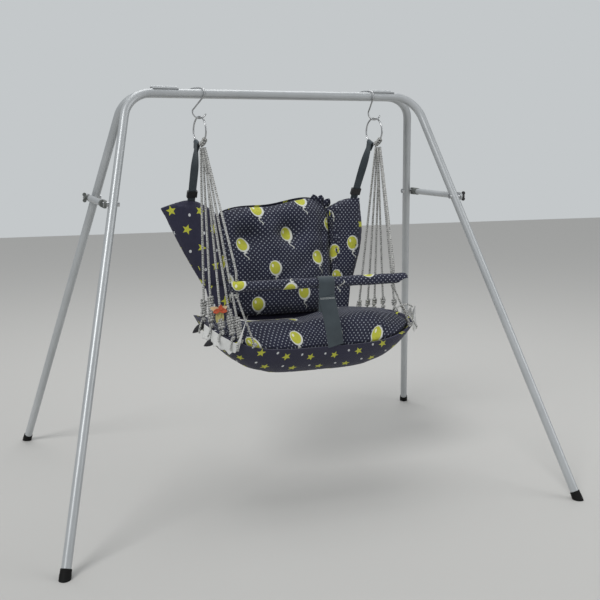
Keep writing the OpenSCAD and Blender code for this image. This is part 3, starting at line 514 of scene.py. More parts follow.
def binding(foot, top, length, reach, seed):
    """A winding about the line from foot to top, loose enough to bulge here and there."""
    up = (top - foot).normalized()
    side = up.orthogonal().normalized()
    other = up.cross(side)
    start = KNOT_R + 0.002
    count = int(12 * length / WOUND_PITCH)
    route = []
    for i in range(count + 1):
        t = i / count
        a = 2 * math.pi * i / 12
        r = reach * (1 + 0.22 * math.sin(7 * t + seed) * math.sin(math.pi * t)) - 0.0006 * t
        route.append(foot + up * (start + length * t) + r * (math.cos(a) * side + math.sin(a) * other))
    return route


def loose_end(knot, out, seed, length):
    """A short end of rope that hangs from a knot and turns outwards."""
    route = []
    for i in range(9):
        t = i / 8
        curl = Vector((math.sin(seed), math.cos(seed), 0)) * (0.006 * math.sin(math.pi * t))
        off = out * (0.007 + 0.010 * math.sin(math.pi / 2 * t))
        route.append(knot + off + curl - Vector((0, 0, length * t)))
    return route


def stray_end(start, way, length, droop, seed):
    """A stiff end of rope that stands off a knot and bends over."""
    route = []
    for i in range(13):
        t = i / 12
        bend = Vector((0.3 * math.sin(3 * t + seed), 0.3 * math.cos(2 * t + seed), 0)) * length * t
        ahead = Vector(way).normalized() * (length * t)
        route.append(start + ahead + bend - Vector((0, 0, droop * t * t)))
    return route


STRAYS = ((0.9, -0.3, 0.55), (-0.5, -0.4, 0.5), (0.5, -0.5, -0.2))
for hand, side in HANDS:
    feet = [knot_place(hand, share) for share in STRAND_FEET[hand] + (TIE_FOOT[hand],)]
    places = feet + [stopper_place(hand)]
    if hand > 0:
        places.append(feet[5].lerp(stopper_place(hand), 0.50))
    knots = []
    for i, place in enumerate(places):
        knots.append(tube("knot_%s_%d" % (side, i), trefoil(place, 1.1 * i), LOOSE_R, 8, True))
    for k, knot in enumerate(feet[:5]):
        length = 0.062 + 0.016 * math.sin(2.1 * k) if hand < 0 else 0.022
        wound = binding(knot, strand_top(hand, k), length, 0.0074 if hand < 0 else 0.0062, k)
        knots.append(tube("binding_%s_%d" % (side, k), wound, WOUND_R, 7))
        out = Vector((knot.x - SEAT_X, 1.8 * (knot.y - SEAT_Y), 0)).normalized()
        end = loose_end(knot, out, 1.7 * k, 0.026 + 0.006 * (k % 3))
        knots.append(tube("end_%s_%d" % (side, k), end, LOOSE_R, 7))
    if hand > 0:
        for k, way in enumerate(STRAYS):
            end = stray_end(places[7], way, 0.034 + 0.008 * k, 0.020 + 0.016 * k, 2.0 * k)
            knots.append(tube("stray_%d" % k, end, LOOSE_R, 7))
    dress(join("knots_" + side, knots), rope, "swing_seat", "rope", "rope_knots_" + side)

# %% [markdown]
# ## Finishes of the stand
# The tubes are powder coated in a light silver: a soft gloss with the fine skin that such paint has.
# Feet are black rubber, the strap keepers and the right wing nut black plastic, the spreader ends and
# the left wing nut grey plastic, and rings, pins and bolts bright steel.

# %% Silver powder coat
silver = Finish("silver_coat", colour(176, 180, 182), 0.34, Metallic=0.25, Coat_Weight=0.25,
                Coat_Roughness=0.25)
cloudy = silver.noise(9.0, 3.0)
grain = silver.noise(900.0, 2.0)
silver.tint(cloudy, colour(170, 174, 176), colour(196, 199, 201))
silver.feed("Roughness", grain * 0.12 + cloudy * 0.10 + 0.24)
silver.bump(grain, 0.12, 0.0004)

# %% Black rubber
rubber = Finish("black_rubber", colour(12, 12, 13), 0.75, Specular_Ior_Level=0.25)
dust = rubber.noise(60.0, 4.0)
rubber.tint(dust, colour(5, 5, 6), colour(17, 17, 17))
rubber.feed("Roughness", dust * 0.25 + 0.6)
rubber.bump(rubber.noise(420.0, 2.0), 0.25, 0.0006)


# %% Black and grey plastic
def moulded(name, middle, roughness, dark, pale, least_rough):
    plastic = Finish(name, middle, roughness)
    texture = plastic.noise(700.0, 2.0)
    plastic.tint(plastic.noise(35.0, 3.0), dark, pale)
    plastic.feed("Roughness", texture * 0.2 + least_rough)
    plastic.bump(texture, 0.2, 0.0004)
    return plastic


plastic = moulded("black_plastic", colour(28, 28, 30), 0.45,
                  colour(22, 22, 24), colour(44, 44, 46), 0.36)
grey_plastic = moulded("grey_plastic", colour(98, 102, 100), 0.5,
                       colour(86, 90, 88), colour(112, 115, 112), 0.4)

# %% Bright steel
steel = Finish("bright_steel", colour(196, 198, 200), 0.25, Metallic=1.0)
smear = steel.noise(45.0, 3.0)
steel.tint(smear, colour(170, 172, 174), colour(214, 215, 216))
steel.feed("Roughness", smear * 0.22 + 0.16)

# %% Finishes on the solids that stay
nodes = frame["nodes"]
for name, node in nodes.items():
    if name.endswith("frame_tube") or name.startswith(("hinge_leaf", "spreader_tube")):
        silver.wear(node)
    elif name.startswith("foot_"):
        rubber.wear(node)
    elif name.startswith("spreader_end") or name == "wing_nut_left":
        grey_plastic.wear(node)
    elif name.startswith(("wing_nut", "strap_keeper")):
        plastic.wear(node)
    elif name.startswith(("hinge_pin", "pivot_bolt", "lock_stud", "ring_")):
        steel.wear(node)
print("solids with a finish:", sum(bool(n.data.materials) for n in nodes.values()))

# %% [markdown]
# ## The wire hooks
# Each hook is one length of steel wire: a wide arch over both bars, a shank, and a smaller bend for the
# ring. A curve with a round bevel is the natural way to bend wire; it is then turned into a mesh.


# %% Two bent wire hooks
def bend_wire(name, route, radius):
    bpy.ops.object.select_all(action="DESELECT")
    bpy.ops.curve.primitive_bezier_curve_add(location=(0, 0, 0))
    wire = bpy.context.object
    wire.name = name
    wire.data.splines.clear()
    line = wire.data.splines.new("POLY")
    line.points.add(len(route) - 1)
    for point, p in zip(line.points, route):
        point.co = (p.x, p.y, p.z, 1.0)
    wire.data.bevel_depth = radius
    wire.data.bevel_resolution = 3
    wire.data.use_fill_caps = True
    bpy.ops.object.convert(target="MESH")
    bpy.ops.object.shade_smooth()
    return bpy.context.object


TUBE_R = 0.0127
BARS_HALF = 0.0225
BARS_Z = 1.2
HOOK_R = 0.0023
HOOK_MID = 0.0385 + HOOK_R
HOOK_PLAY = 0.0011
HOOK_LOW_Z = 1.128
HOOK_LOW_R = 0.021
HOOK_FLAT = 0.6
hook_cos = (BARS_HALF / math.cos(math.radians(20)) / HOOK_MID) ** (1 / HOOK_FLAT)
HOOK_ARCH = (TUBE_R + HOOK_R + HOOK_PLAY) / (1 - hook_cos ** 2) ** (HOOK_FLAT / 2)


def flattened(value):
    return math.copysign(abs(value) ** HOOK_FLAT, value)


for hand, side, lean, turn in ((-1, "left", 0.008, 20), (1, "right", 0.030, 10)):
    flat = Vector((math.sin(math.radians(turn)), -math.cos(math.radians(turn)), 0))
    top = Vector((SWING_X + hand * RING_HALF - lean, 0, BARS_Z))
    low = under_hook(hand, HOOK_LOW_Z + HOOK_LOW_R)
    arch = []
    for g in range(168, -13, -4):
        rise = HOOK_ARCH * flattened(math.sin(math.radians(g))) * Vector((0, 0, 1))
        arch.append(top + HOOK_MID * flattened(math.cos(math.radians(g))) * flat + rise)
    bend = [low + HOOK_LOW_R * Vector((math.cos(math.radians(g)), 0, math.sin(math.radians(g))))
            for g in range(172, 343, 6)]
    corner = arch[-1].lerp(bend[0], 0.5)
    hook = bend_wire("wire_hook_" + side, rounded(arch + [corner] + bend, 0.18, 3), HOOK_R)
    dress(hook, steel, "hooks", "steel", "s_hook_" + side)

# %% [markdown]
# ## Printed cloth
# Two prints make the seat. One is dark navy with small pale dots in staggered rows and yellow balloons
# now and then; the other is a shade of violet with yellow five pointed stars and white spots. Both are
# drawn on the cloth's own map in metres, so a dot stays a dot on a bend.


# %% Motifs on a repeating ground
def ground(u, v, across, up):
    """Places in a repeat, where odd rows move by half of it: the place in it, the row, the column."""
    row = (v / up).floor()
    moved = u / across + (row * 0.5).fract()
    return (moved.fract() - 0.5) * across, ((v / up).fract() - 0.5) * up, row, moved.floor()


def reach_of(a, b):
    return (a * a + b * b).math("SQRT")


def star(a, b, radius, soft):
    """A five pointed star: every point of it is one slanted edge, folded over by the angle."""
    angle = a.math("ARCTAN2", b) * (5 / (2 * math.pi))
    fold = ((angle + 0.5).fract() - 0.5).size() * (2 * math.pi / 5)
    reach = reach_of(a, b)
    inner = 0.45 * radius
    edge = (inner * math.sin(math.pi / 5), radius - inner * math.cos(math.pi / 5))
    long = math.hypot(*edge)
    beyond = (reach * fold.cos() - radius) * (edge[0] / long) + reach * fold.sin() * (edge[1] / long)
    return beyond.inside(soft)


def oval(a, b, wide, high, soft):
    return (reach_of(a / wide, b / high) - 1.0).inside(soft / high)


def weave(u, v, threads):
    return (u * threads).sin() * (v * threads).sin()


def turned_by(u, v, cos, sin):
    return u * cos + v * sin, v * cos - u * sin


def print_cloth(cloth, paint, shade, u, v):
    cloth.feed("Base Color", paint)
    cloth.feed("Roughness", shade * 0.15 + 0.76)
    cloth.bump(weave(u, v, 5200.0) * 0.5 + cloth.noise(55.0, 4.0) * 3.0, 0.30, 0.0012)
    return cloth


# %% Dotted navy cloth with balloons
def balloon(cloth, paint, a, b):
    """A yellow balloon with a white edge, a knot and a curly string, printed over a ground."""
    rim = oval(a - 0.0015, b + 0.0015, 0.0205, 0.0240, 0.001)
    body = oval(a, b, 0.0165, 0.0198, 0.001)
    gleam = oval(a + 0.006, b - 0.008, 0.0034, 0.0052, 0.0008)
    down = (b + 0.022).inside(0.001) * (-0.052 - b).inside(0.001)
    curl = ((a - (b * 230.0).sin() * 0.0042).size() - 0.0014).inside(0.0008) * down
    near_knot = ((b + 0.0265).size() - 0.004).inside(0.001)
    knot = ((a.size() + (b + 0.0265) * 0.9).size() - 0.0034).inside(0.0008) * near_knot
    paint = cloth.mix(rim.most(curl).most(knot), paint, colour(214, 216, 210))
    yellow = cloth.mix(cloth.noise(160.0, 2.0), colour(178, 180, 44), colour(204, 204, 76))
    paint = cloth.mix(body, paint, yellow)
    return cloth.mix(gleam, paint, colour(232, 232, 206))


def dotted_cloth(name, turned, across, up):
    """Dots, and balloons in a repeat of the given size, turned by some degrees."""
    cloth = Finish(name, colour(30, 32, 48), 0.85, Sheen_Weight=0.10, Sheen_Roughness=0.5)
    u, v = cloth.print_map()
    shade = cloth.noise(14.0, 3.0)
    base = cloth.mix(shade, colour(18, 21, 40), colour(32, 35, 60))
    a, b = ground(u, v, 0.0144, 0.0076)[:2]
    dots = (reach_of(a, b) - 0.0019).inside(0.0010)
    paint = cloth.mix(dots * (cloth.noise(90.0, 1.0) * 0.7 + 0.3), base, colour(184, 190, 202))
    turn = math.radians(turned)
    p, q = turned_by(u, v, math.cos(turn), math.sin(turn))
    a, b = ground(p, q, across, up)[:2]
    return print_cloth(cloth, balloon(cloth, paint, a * 0.95, b * 0.95 - 0.010), shade, u, v)


dotted = dotted_cloth("dotted_cloth", 11, 0.160, 0.100)
dotted_seat = dotted_cloth("dotted_seat_cloth", 0, 0.150, 0.260)


# %% Violet cloth with stars
def starry_cloth(name):
    cloth = Finish(name, colour(47, 47, 69), 0.85, Sheen_Weight=0.12, Sheen_Roughness=0.5)
    u, v = cloth.print_map()
    shade = cloth.noise(12.0, 3.0)
    base = cloth.mix(shade, colour(31, 31, 51), colour(45, 45, 70))
    a, b, row, column = ground(u, v, 0.100, 0.058)
    turn = (row * 2.3 + column * 1.7).sin() * 0.9
    x, y = turned_by(a, b, turn.cos(), turn.sin())
    paint = cloth.mix(star(x, y, 0.0168, 0.001), base, colour(196, 198, 62))
    a, b = ground(u + 0.050, v + 0.012, 0.100, 0.058)[:2]
    paint = cloth.mix(oval(a - 0.010, b, 0.0042, 0.0050, 0.0008), paint, colour(214, 216, 218))
    return print_cloth(cloth, paint, shade, u, v)


starry = starry_cloth("starry_cloth")
print("prints:", dotted.material.name, starry.material.name)

# %% [markdown]
# ## The outer seat
# The outer seat is a padded bowl of starry cloth, like the hull of a small boat: low in front, high at
# the ends. Rings of points go from the middle of the underside out to the rim and back inside. Its
# print map is the bowl rolled out flat, so the stars keep their size up the sides.


# %% Rings of the bowl
def outline(angle, inset):
    c = math.cos(angle)
    s = math.sin(angle)
    x = math.copysign(abs(c) ** 0.5, c) * (SEAT_HALF_W - inset)
    y = math.copysign(abs(s) ** 0.5, s) * (SEAT_HALF_D - inset)
    return x, y, rim_height(s < 0, c < 0, c * c)


def bowl_point(angle, share, inset, low):
    x, y, rim = outline(angle, inset)
    return Vector((SEAT_X + share * x, SEAT_Y + share * y, low + (rim - low) * share ** 4))


def rolled_flat(p, slope):
    """Where a point of the bowl lies when rolled out flat. slope is the length gained on the way up."""
    level = math.hypot(p.x - SEAT_X, p.y - SEAT_Y)
    spread = (level + slope) / max(level, 1e-6)
    return (p.x - SEAT_X) * spread, (p.y - SEAT_Y) * spread


def ring_skin(name, rings, flat):
    """A skin over rings of points, closed at both ends. flat has a map pair for each point."""
    count = len(rings[0])
    points = [p for ring in rings for p in ring]
    pairs = [m for ring in flat for m in ring]
    faces = band(len(rings), count)
    for first, flip in ((0, True), ((len(rings) - 1) * count, False)):
        hub = len(points)
        points.append(sum((Vector(p) for p in points[first:first + count]), Vector()) / count)
        pairs.append(tuple(np.mean(pairs[first:first + count], axis=0)))
        for k in range(count):
            n = (k + 1) % count
            faces.append((first + n, first + k, hub) if flip else (first + k, first + n, hub))
    return new_piece(name, points, faces, [pairs[k] for f in faces for k in f])


def lumps(p, size, depth):
    """Soft unevenness: the same at every run."""
    return depth * noise.noise(Vector(p) / size)


def eased_shares(count):
    return [math.sin(math.pi / 2 * (i + 1) / count) for i in range(count)]


def bowl_skin_point(angle, share):
    """A point of the outside, with lumps, and puckers towards the rim."""
    p = bowl_point(angle, share, 0.0, SEAT_LOW)
    near_rim = max(0.0, share - 0.72) / 0.28 * (1 - share ** 12)
    pucker = 0.0022 * math.sin(46 * angle + 2 * math.sin(5 * angle)) * near_rim
    inward = (Vector((SEAT_X, SEAT_Y, SEAT_LOW + 0.12)) - p).normalized()
    return p + inward * (max(0.0, lumps(p, 0.075, 0.006)) * (1 - share ** 10) + max(0.0, pucker))


SECTORS = 128
angles = [2 * math.pi * k / SECTORS for k in range(SECTORS)]
shares = eased_shares(30)
plain = [[bowl_point(a, share, 0.0, SEAT_LOW) for a in angles] for share in shares]
flat = [[rolled_flat(p, 0.75 * (p.z - SEAT_LOW)) for p in ring] for ring in plain]
rings = [[bowl_skin_point(a, share) for a in angles] for share in shares]
for share in reversed(shares):
    rings.append([bowl_point(a, share, 0.009, SEAT_LOW + 0.012) for a in angles])
outer_seat = ring_skin("outer_seat", rings, flat + flat[::-1])
dress(outer_seat, starry, "swing_seat", "star_fabric", "seat_sling", fill=0.5)

# %% [markdown]
# ## Plumping a cushion
# A stuffed cover is tight where it is full and wrinkles where its seams hold it back. Cloth under a
# little pressure does that: the pad is remeshed evenly, blown up for a few frames with gravity off, and
# no point may move further than a cap, so the pad keeps its place. The print map comes after, from the
# place of each point.


# %% Cloth under pressure
FILL_PRESSURE = 4.0
FILL_STIFFNESS = 12.0
FILL_FRAMES = 20


def plump(piece, cap, voxel=0.005):
    """Remeshes a pad and blows it up. No point moves further than the cap."""
    pick(piece)
    piece.data.remesh_voxel_size = voxel
    bpy.ops.object.voxel_remesh()
    start = np.empty(len(piece.data.vertices) * 3)
    piece.data.vertices.foreach_get("co", start)
    start = start.reshape(-1, 3)
    end = start
    cloth = piece.modifiers.new("fill", "CLOTH")
    cloth.settings.quality = 4
    cloth.settings.use_pressure = True
    cloth.settings.uniform_pressure_force = FILL_PRESSURE
    cloth.settings.effector_weights.gravity = 0.0
    cloth.settings.tension_stiffness = FILL_STIFFNESS
    cloth.settings.compression_stiffness = FILL_STIFFNESS
    cloth.point_cache.frame_start = 1
    cloth.point_cache.frame_end = FILL_FRAMES
    for step in range(1, FILL_FRAMES + 1):
        scene.frame_set(step)
    swollen = piece.evaluated_get(bpy.context.evaluated_depsgraph_get()).data
    end = np.empty_like(start).ravel()
    swollen.vertices.foreach_get("co", end)
    end = end.reshape(-1, 3)
    piece.modifiers.remove(cloth)
    scene.frame_set(1)
    move = end - start
    size = np.linalg.norm(move, axis=1, keepdims=True)
    end = start + move * np.minimum(1.0, cap / np.maximum(size, 1e-9))
    piece.data.vertices.foreach_set("co", end.ravel())
    piece.data.update()
    bpy.ops.object.shade_smooth()
    print("%s swells by %.1f mm before the cap" % (piece.name, 1000 * size.max()))


def map_by_place(piece, rule, side_rule=None):
    """Lays the print map by a rule from a point's place. Faces turned to a side may have their own."""
    mesh = piece.data
    pairs = np.zeros((len(mesh.loops), 2), dtype=np.float32)
    for face in mesh.polygons:
        turned = side_rule and abs(face.normal.x) > 1.2 * abs(face.normal.y)
        for k in face.loop_indices:
            place = mesh.vertices[mesh.loops[k].vertex_index].co
            pairs[k] = side_rule(place) if turned else rule(place)
    layer = mesh.uv_layers.get("print") or mesh.uv_layers.new(name="print")
    layer.data.foreach_set("uv", pairs.ravel())


def sheets(rows, columns, rule):
    """A front and a rear sheet of points. rule gives both points for two shares from 0 to 1."""
    grid = [[rule(i / (rows - 1), j / (columns - 1)) for j in range(columns)] for i in range(rows)]
    return [[pair[0] for pair in row] for row in grid], [[pair[1] for pair in row] for row in grid]


def pad_skin(name, front, rear, mirrored=False):
    """A closed skin of a front and a rear sheet of points, sewn round the edge."""
    if mirrored:
        return pad_skin(name, front[::-1], rear[::-1])
    rows = len(front)
    columns = len(front[0])
    points = [p for row in front for p in row] + [p for row in rear for p in row]
    half = rows * columns
    faces = []
    for i in range(rows - 1):
        for j in range(columns - 1):
            a = i * columns + j
            d = a + columns
            faces.append((a, d, d + 1, a + 1))
            faces.append((half + a, half + a + 1, half + d + 1, half + d))
    edge = [(0, j) for j in range(columns)] + [(i, columns - 1) for i in range(1, rows)]
    edge += [(rows - 1, j) for j in range(columns - 2, -1, -1)]
    edge += [(i, 0) for i in range(rows - 2, 0, -1)]
    loop = [i * columns + j for i, j in edge]
    for a, b in zip(loop, loop[1:] + loop[:1]):
        faces.append((a, b, half + b, half + a))
    return new_piece(name, points, faces)


# %% [markdown]
# ## The seat cushion
# The cushion fills the bowl. A soft roll stands at the front edge, where the dotted cover is sewn to
# the outer seat, it is fullest at the right, and it sinks towards the rear at the left, where the child
# sits deepest.


# %% Seat cushion
def smooth_step(t):
    t = min(1.0, max(0.0, t))
    return (3 - 2 * t) * t ** 2


def hump(x, middle, spread):
    return math.exp(-((x - middle) / spread) ** 2)


def cushion_top(across, ahead):
    """The height of the stuffed top: shares of the half width and of the half depth, -1 at the front."""
    roll = 0.007 * hump(ahead, -0.62, 0.28)
    full = 0.013 * hump(across, 0.5, 0.38) * hump(ahead, -0.2, 0.6)
    sunk = 0.030 * smooth_step((ahead + 0.35) / 0.75) * smooth_step((0.45 - across) / 0.45)
    pull = 0.010 * hump(across, -0.12, 0.07) * hump(ahead, -0.35, 0.5)
    return SEAT_TOP - 0.002 + roll + full - sunk - pull


CUSHION_INSET = 0.0135
cushion_rings = []
cushion_shares = eased_shares(26)
for share in cushion_shares:
    ring = []
    for a in angles:
        x, y, rim = outline(a, CUSHION_INSET)
        low = cushion_top(share * x / SEAT_HALF_W, share * y / SEAT_HALF_D)
        low += lumps((x * share, y * share, 0.3), 0.085, 0.006)
        z = low + (rim + 0.002 - low) * share ** 6.5
        ring.append(Vector((SEAT_X + share * x, SEAT_Y + share * y, z)))
    cushion_rings.append(ring)
for share in reversed(cushion_shares):
    bowl = [bowl_point(a, share, CUSHION_INSET, SEAT_LOW + 0.016) for a in angles]
    cushion_rings.append([p + Vector((0, 0, 0.002)) for p in bowl])
seat_pad = ring_skin("seat_pad", cushion_rings, [[(0.0, 0.0)] * SECTORS] * len(cushion_rings))
plump(seat_pad, 0.009, 0.006)


def seat_map(p):
    u, v = rolled_flat(p, 0.7 * max(0.0, SEAT_TOP - p.z))
    return u - 0.060, v + 0.036


map_by_place(seat_pad, seat_map)
dress(seat_pad, dotted_seat, "swing_seat", "dot_fabric", "seat_cushion", fill=0.8)

# %% [markdown]
# ## The backrest
# A wide pad leans back behind the seat. Two tufts pull its face in, so the cloth creases towards them,
# and a deep fold runs down near the right edge, where the wing begins. It is a front sheet and a rear
# sheet of points with the crown worked out between them, and then plumped like the seat.

# %% Backrest pad and outer back
BACK_LEAN = math.radians(12.5)
BACK_LEN = 0.400
BACK_HALF = 0.203
BACK_SLANT = 0.026
BACK_FOOT = Vector((SWING_X, 0.088, 0.487))
BACK_UP = Vector((0, math.sin(BACK_LEAN), math.cos(BACK_LEAN)))
BACK_OUT = Vector((0, -math.cos(BACK_LEAN), math.sin(BACK_LEAN)))
BACK_CELLS = 56
TUFTS = ((-0.52, 0.67), (0.19, 0.69))


def swell(s, power):
    return max(0.0, 1 - abs(s) ** power) ** (1 / power)


def back_width(b):
    """The back's half width as a share, at a height from -1 to 1: it narrows a little to both ends."""
    return (1 - 0.06 * (1 - b) / 2) * (1 - 0.1 * abs(b) ** 4.5)


def back_place(a, b, inset):
    across = (BACK_HALF - inset) * a * back_width(b)
    up = BACK_LEN * (0.5 + b / 2 * (1 - 0.1 * abs(a) ** 4.5))
    slant = BACK_SLANT * smooth_step(0.75 - a) * (1 + b) / 2
    return across, min(max(up, inset), BACK_LEN - inset) - slant


def on_back(across, up, out):
    return BACK_FOOT + Vector((across, 0, 0)) + up * BACK_UP + out * BACK_OUT


def tuft_pull(across, up):
    best = 0.0
    for s, t in TUFTS:
        far = math.hypot(across - s * BACK_HALF, up - t * BACK_LEN)
        best = max(best, math.exp(-3 * (far / 0.075) ** 2))
    return best


def creases(across, up):
    """How deep the cloth folds: between the tufts, down the right edge, and at a slant."""
    row = hump(up, 0.67 * BACK_LEN, 0.022) * (0.6 + 0.4 * math.sin(46 * across))
    edge = hump(across, 0.155 + 0.05 * (up - 0.2), 0.014)
    slant = hump(up, 0.30 * BACK_LEN + 0.55 * across, 0.030)
    return 0.011 * row + 0.016 * edge + 0.009 * slant


def pad_pair(i, j):
    """Front and rear of the pad."""
    a = 2 * i - 1
    b = 2 * j - 1
    across, up = back_place(a, b, 0.004)
    full = swell(a, 2.2) * swell(b, 2.2)
    fold = 0.006 * noise.noise(Vector((across * 12, up * 18, 3.1))) - creases(across, up)
    deep = 0.062 - 0.044 * tuft_pull(across, up) + fold
    return on_back(across, up, 0.002 + full * deep), on_back(across, up, -0.002 - 0.038 * full)


def shell_pair(i, j):
    """Inside and outside of the outer back, which is gathered near its edge."""
    a = 2 * i - 1
    b = 2 * j - 1
    across, up = back_place(a, b, 0.0)
    full = swell(a, 2.2) * swell(b, 2.2)
    gather = 0.002 * math.sin(70 * across + 4 * up) * (1 - full) * full
    out = -0.0044 - 0.040 * full - 0.0002
    up -= 0.0080 if b == -1 else 0.0
    return on_back(across, up, out), on_back(across, up, out - 0.0035 - 0.007 * full + max(0.0, gather))


def across_back(p):
    return p.x - SWING_X, (p - BACK_FOOT).dot(BACK_UP)


def along_depth(p):
    return p.y, (p - BACK_FOOT).dot(BACK_UP)


back_pad = pad_skin("back_pad", *sheets(BACK_CELLS + 1, BACK_CELLS + 1, pad_pair))
plump(back_pad, 0.0045)
map_by_place(back_pad, across_back, along_depth)
dress(back_pad, dotted, "swing_seat", "dot_fabric", "back_cushion", fill=0.75)
outer_back = pad_skin("outer_back", *sheets(BACK_CELLS + 1, BACK_CELLS + 1, shell_pair))
map_by_place(outer_back, across_back, along_depth)
dress(outer_back, starry, "swing_seat", "star_fabric", "back_shell", fill=0.4)

# %% [markdown]
# ## The side wings
# A wing is sewn to each edge of the back. The left one opens outwards like a flap, so its starry side
# shows; the right one is a full bolster in the dotted cloth that turns to the front.

# %% Wings
SEAM_TUCK = 0.014
WINGS = {-1: {"reach": 0.186, "foot": 0.062, "tip_y": 0.175, "foot_y": 0.103, "rise": 0.038,
              "lift": 0.044, "fold": 0.030, "pad": 0.044, "bow": 0.008, "trim": 0.004},
         1: {"reach": 0.100, "foot": 0.060, "tip_y": 0.115, "foot_y": 0.085, "rise": 0.038,
             "lift": 0.012, "fold": 0.008, "pad": 0.074, "bow": 0.024, "trim": 0.003}}


def back_edge(hand, j):
    """A place on the back's edge, from j = 0 at its foot to j = 16 at its top."""
    b = 2 * j / 16 - 1
    across = BACK_HALF * back_width(b)
    up = BACK_LEN * (0.5 + 0.45 * b) - (BACK_SLANT * (1 + b) / 2 if hand < 0 else 0.0)
    return on_back(hand * (across + 0.0007), up, 0)


def wing_tip(hand):
    """The upper end of a wing's seam, and its tip."""
    wing = WINGS[hand]
    seam = back_edge(hand, 15)
    return seam, Vector((seam.x + hand * wing["reach"], wing["tip_y"], seam.z + wing["rise"]))


def wing_sheets(hand):
    wing = WINGS[hand]
    low = back_edge(hand, 4)
    out_low = Vector((low.x + hand * wing["foot"], wing["foot_y"], low.z))
    out_high = wing_tip(hand)[1]

    def pair(a, b):
        arc = math.sin(math.pi * a)
        seam = back_edge(hand, 4 + 11 * b) - Vector((hand * SEAM_TUCK, 0, 0))
        mid = seam.lerp(out_low.lerp(out_high, b), a)
        mid += Vector((hand * wing["bow"] * a * math.sin(math.pi * b), -wing["fold"] * arc * b,
                       wing["lift"] * arc * b * b))
        half = 0.0025 + (wing["pad"] - 0.010) / 2 * arc * swell(2 * b - 1, 2.5)
        crease = wing["trim"] * noise.noise(Vector((18 * a, 9 * b, hand * 2.0))) * arc
        return mid - Vector((0, half + crease, 0)), mid + Vector((0, half, 0))

    return sheets(45, 45, pair)


def from_side(p):
    return p.y, p.z


def from_corner(p):
    return 1.05 * p.x - 0.55 * p.y, p.z


left_wing = pad_skin("side_wing_left", *wing_sheets(-1), mirrored=True)
plump(left_wing, 0.004)
map_by_place(left_wing, lambda p: (1.15 * p.x, p.z), from_side)
right_wing = pad_skin("side_wing_right", *wing_sheets(1))
plump(right_wing, 0.005)
map_by_place(right_wing, from_corner, from_side)
dress(left_wing, starry, "swing_seat", "star_fabric", "wing_left", fill=0.6)
dress(right_wing, dotted, "swing_seat", "dot_fabric", "wing_right", fill=0.6)
right_wing.data.materials.append(starry.material)
for face in right_wing.data.polygons:
    face.material_index = 1 if face.normal.y > 0.1 or face.normal.x > 0.5 else 0

# %% [markdown]
# ## Gussets and a gathered corner
# Under each wing a narrow panel closes the side down to the seat. It is a front and a rear sheet like a
# wing, only thinner. At the right top corner of the back the spare cloth is gathered into a small
# frill: three tongues of cloth that overlap. The same tongue is used again for the ribbon and the edge
# tabs.


# %% Gussets from the wings down to the seat
def gusset_sheets(hand, wide, rear):
    high = back_edge(hand, 5) - Vector((hand * SEAM_TUCK, 0, 0))
    low = on_back(hand * (0.80 * BACK_HALF - SEAM_TUCK), -0.004, 0)
    out_high = high + Vector((hand * (wide + SEAM_TUCK), rear - high.y, 0.006))
    out_low = low + Vector((hand * (wide + 0.13 * BACK_HALF + 0.004), -0.012, 0.010))

    def pair(a, b):
        arc = math.sin(math.pi * a)
        mid = low.lerp(high, b).lerp(out_low.lerp(out_high, b), a)
        half = 0.0016 + 0.010 * arc * (1 - 0.3 * b)
        half += 0.002 * noise.noise(Vector((9 * a, 14 * b, hand))) * arc
        return mid - Vector((0, half, 0)), mid + Vector((0, half, 0))

    return sheets(25, 25, pair)


for hand, side, wide, rear, finish, slot in ((-1, "left", 0.060, 0.103, starry, "star_fabric"),
                                             (1, "right", 0.056, 0.085, dotted, "dot_fabric")):
    gusset = pad_skin("side_gusset_" + side, *gusset_sheets(hand, wide, rear), mirrored=hand < 0)
    map_by_place(gusset, from_corner)
    dress(gusset, finish, "swing_seat", slot, fill=0.3)


# %% A tongue of cloth
def tongue(name, root, way, across, length, width, bend, thick=0.0016):
    """A pointed tongue from a root, cupped a little and bent at its end."""
    way = Vector(way).normalized()
    across = Vector(across)
    across = (across - across.dot(way) * way).normalized()
    out = way.cross(across)

    def pair(t, j):
        s = 2 * j - 1
        half = width / 2 * max(0.05, math.sin(math.pi * (0.14 + 0.85 * t))) ** 0.8
        cup = 0.16 * width * (1 - s * s) * math.sin(math.pi * t)
        p = Vector(root) + way * (length * t) + across * (half * s) + out * (bend * t * t + cup)
        return p + out * (thick / 2), p - out * (thick / 2)

    return pad_skin(name, *sheets(15, 9, pair))


# %% Frill at the right top corner of the back
FRILL = ((0.150, 0.376, -0.35), (0.166, 0.372, 0.05), (0.182, 0.362, 0.55))
tongues = []
for k, (across, up, tilt) in enumerate(FRILL):
    way = BACK_UP + tilt * Vector((1, 0, 0)) + 0.25 * BACK_OUT
    root = on_back(across, up, 0.002 + 0.003 * k)
    tongues.append(tongue("frill_%d" % k, root, way, (-1, 0, 0), 0.030, 0.028, 0.006, 0.0024))
frill = join("corner_frill", tongues)
map_by_place(frill, across_back)
dress(frill, dotted, "swing_seat", "dot_fabric", fill=0.1)

# %% [markdown]
# ## The front bar
# A rod in a padded sleeve of dotted cloth lies across the lap. The sleeve is turned like a roll,
# waisted under the strap, with its ends gathered. Past the right rope it is empty, so its underside
# slopes up to a flat point.

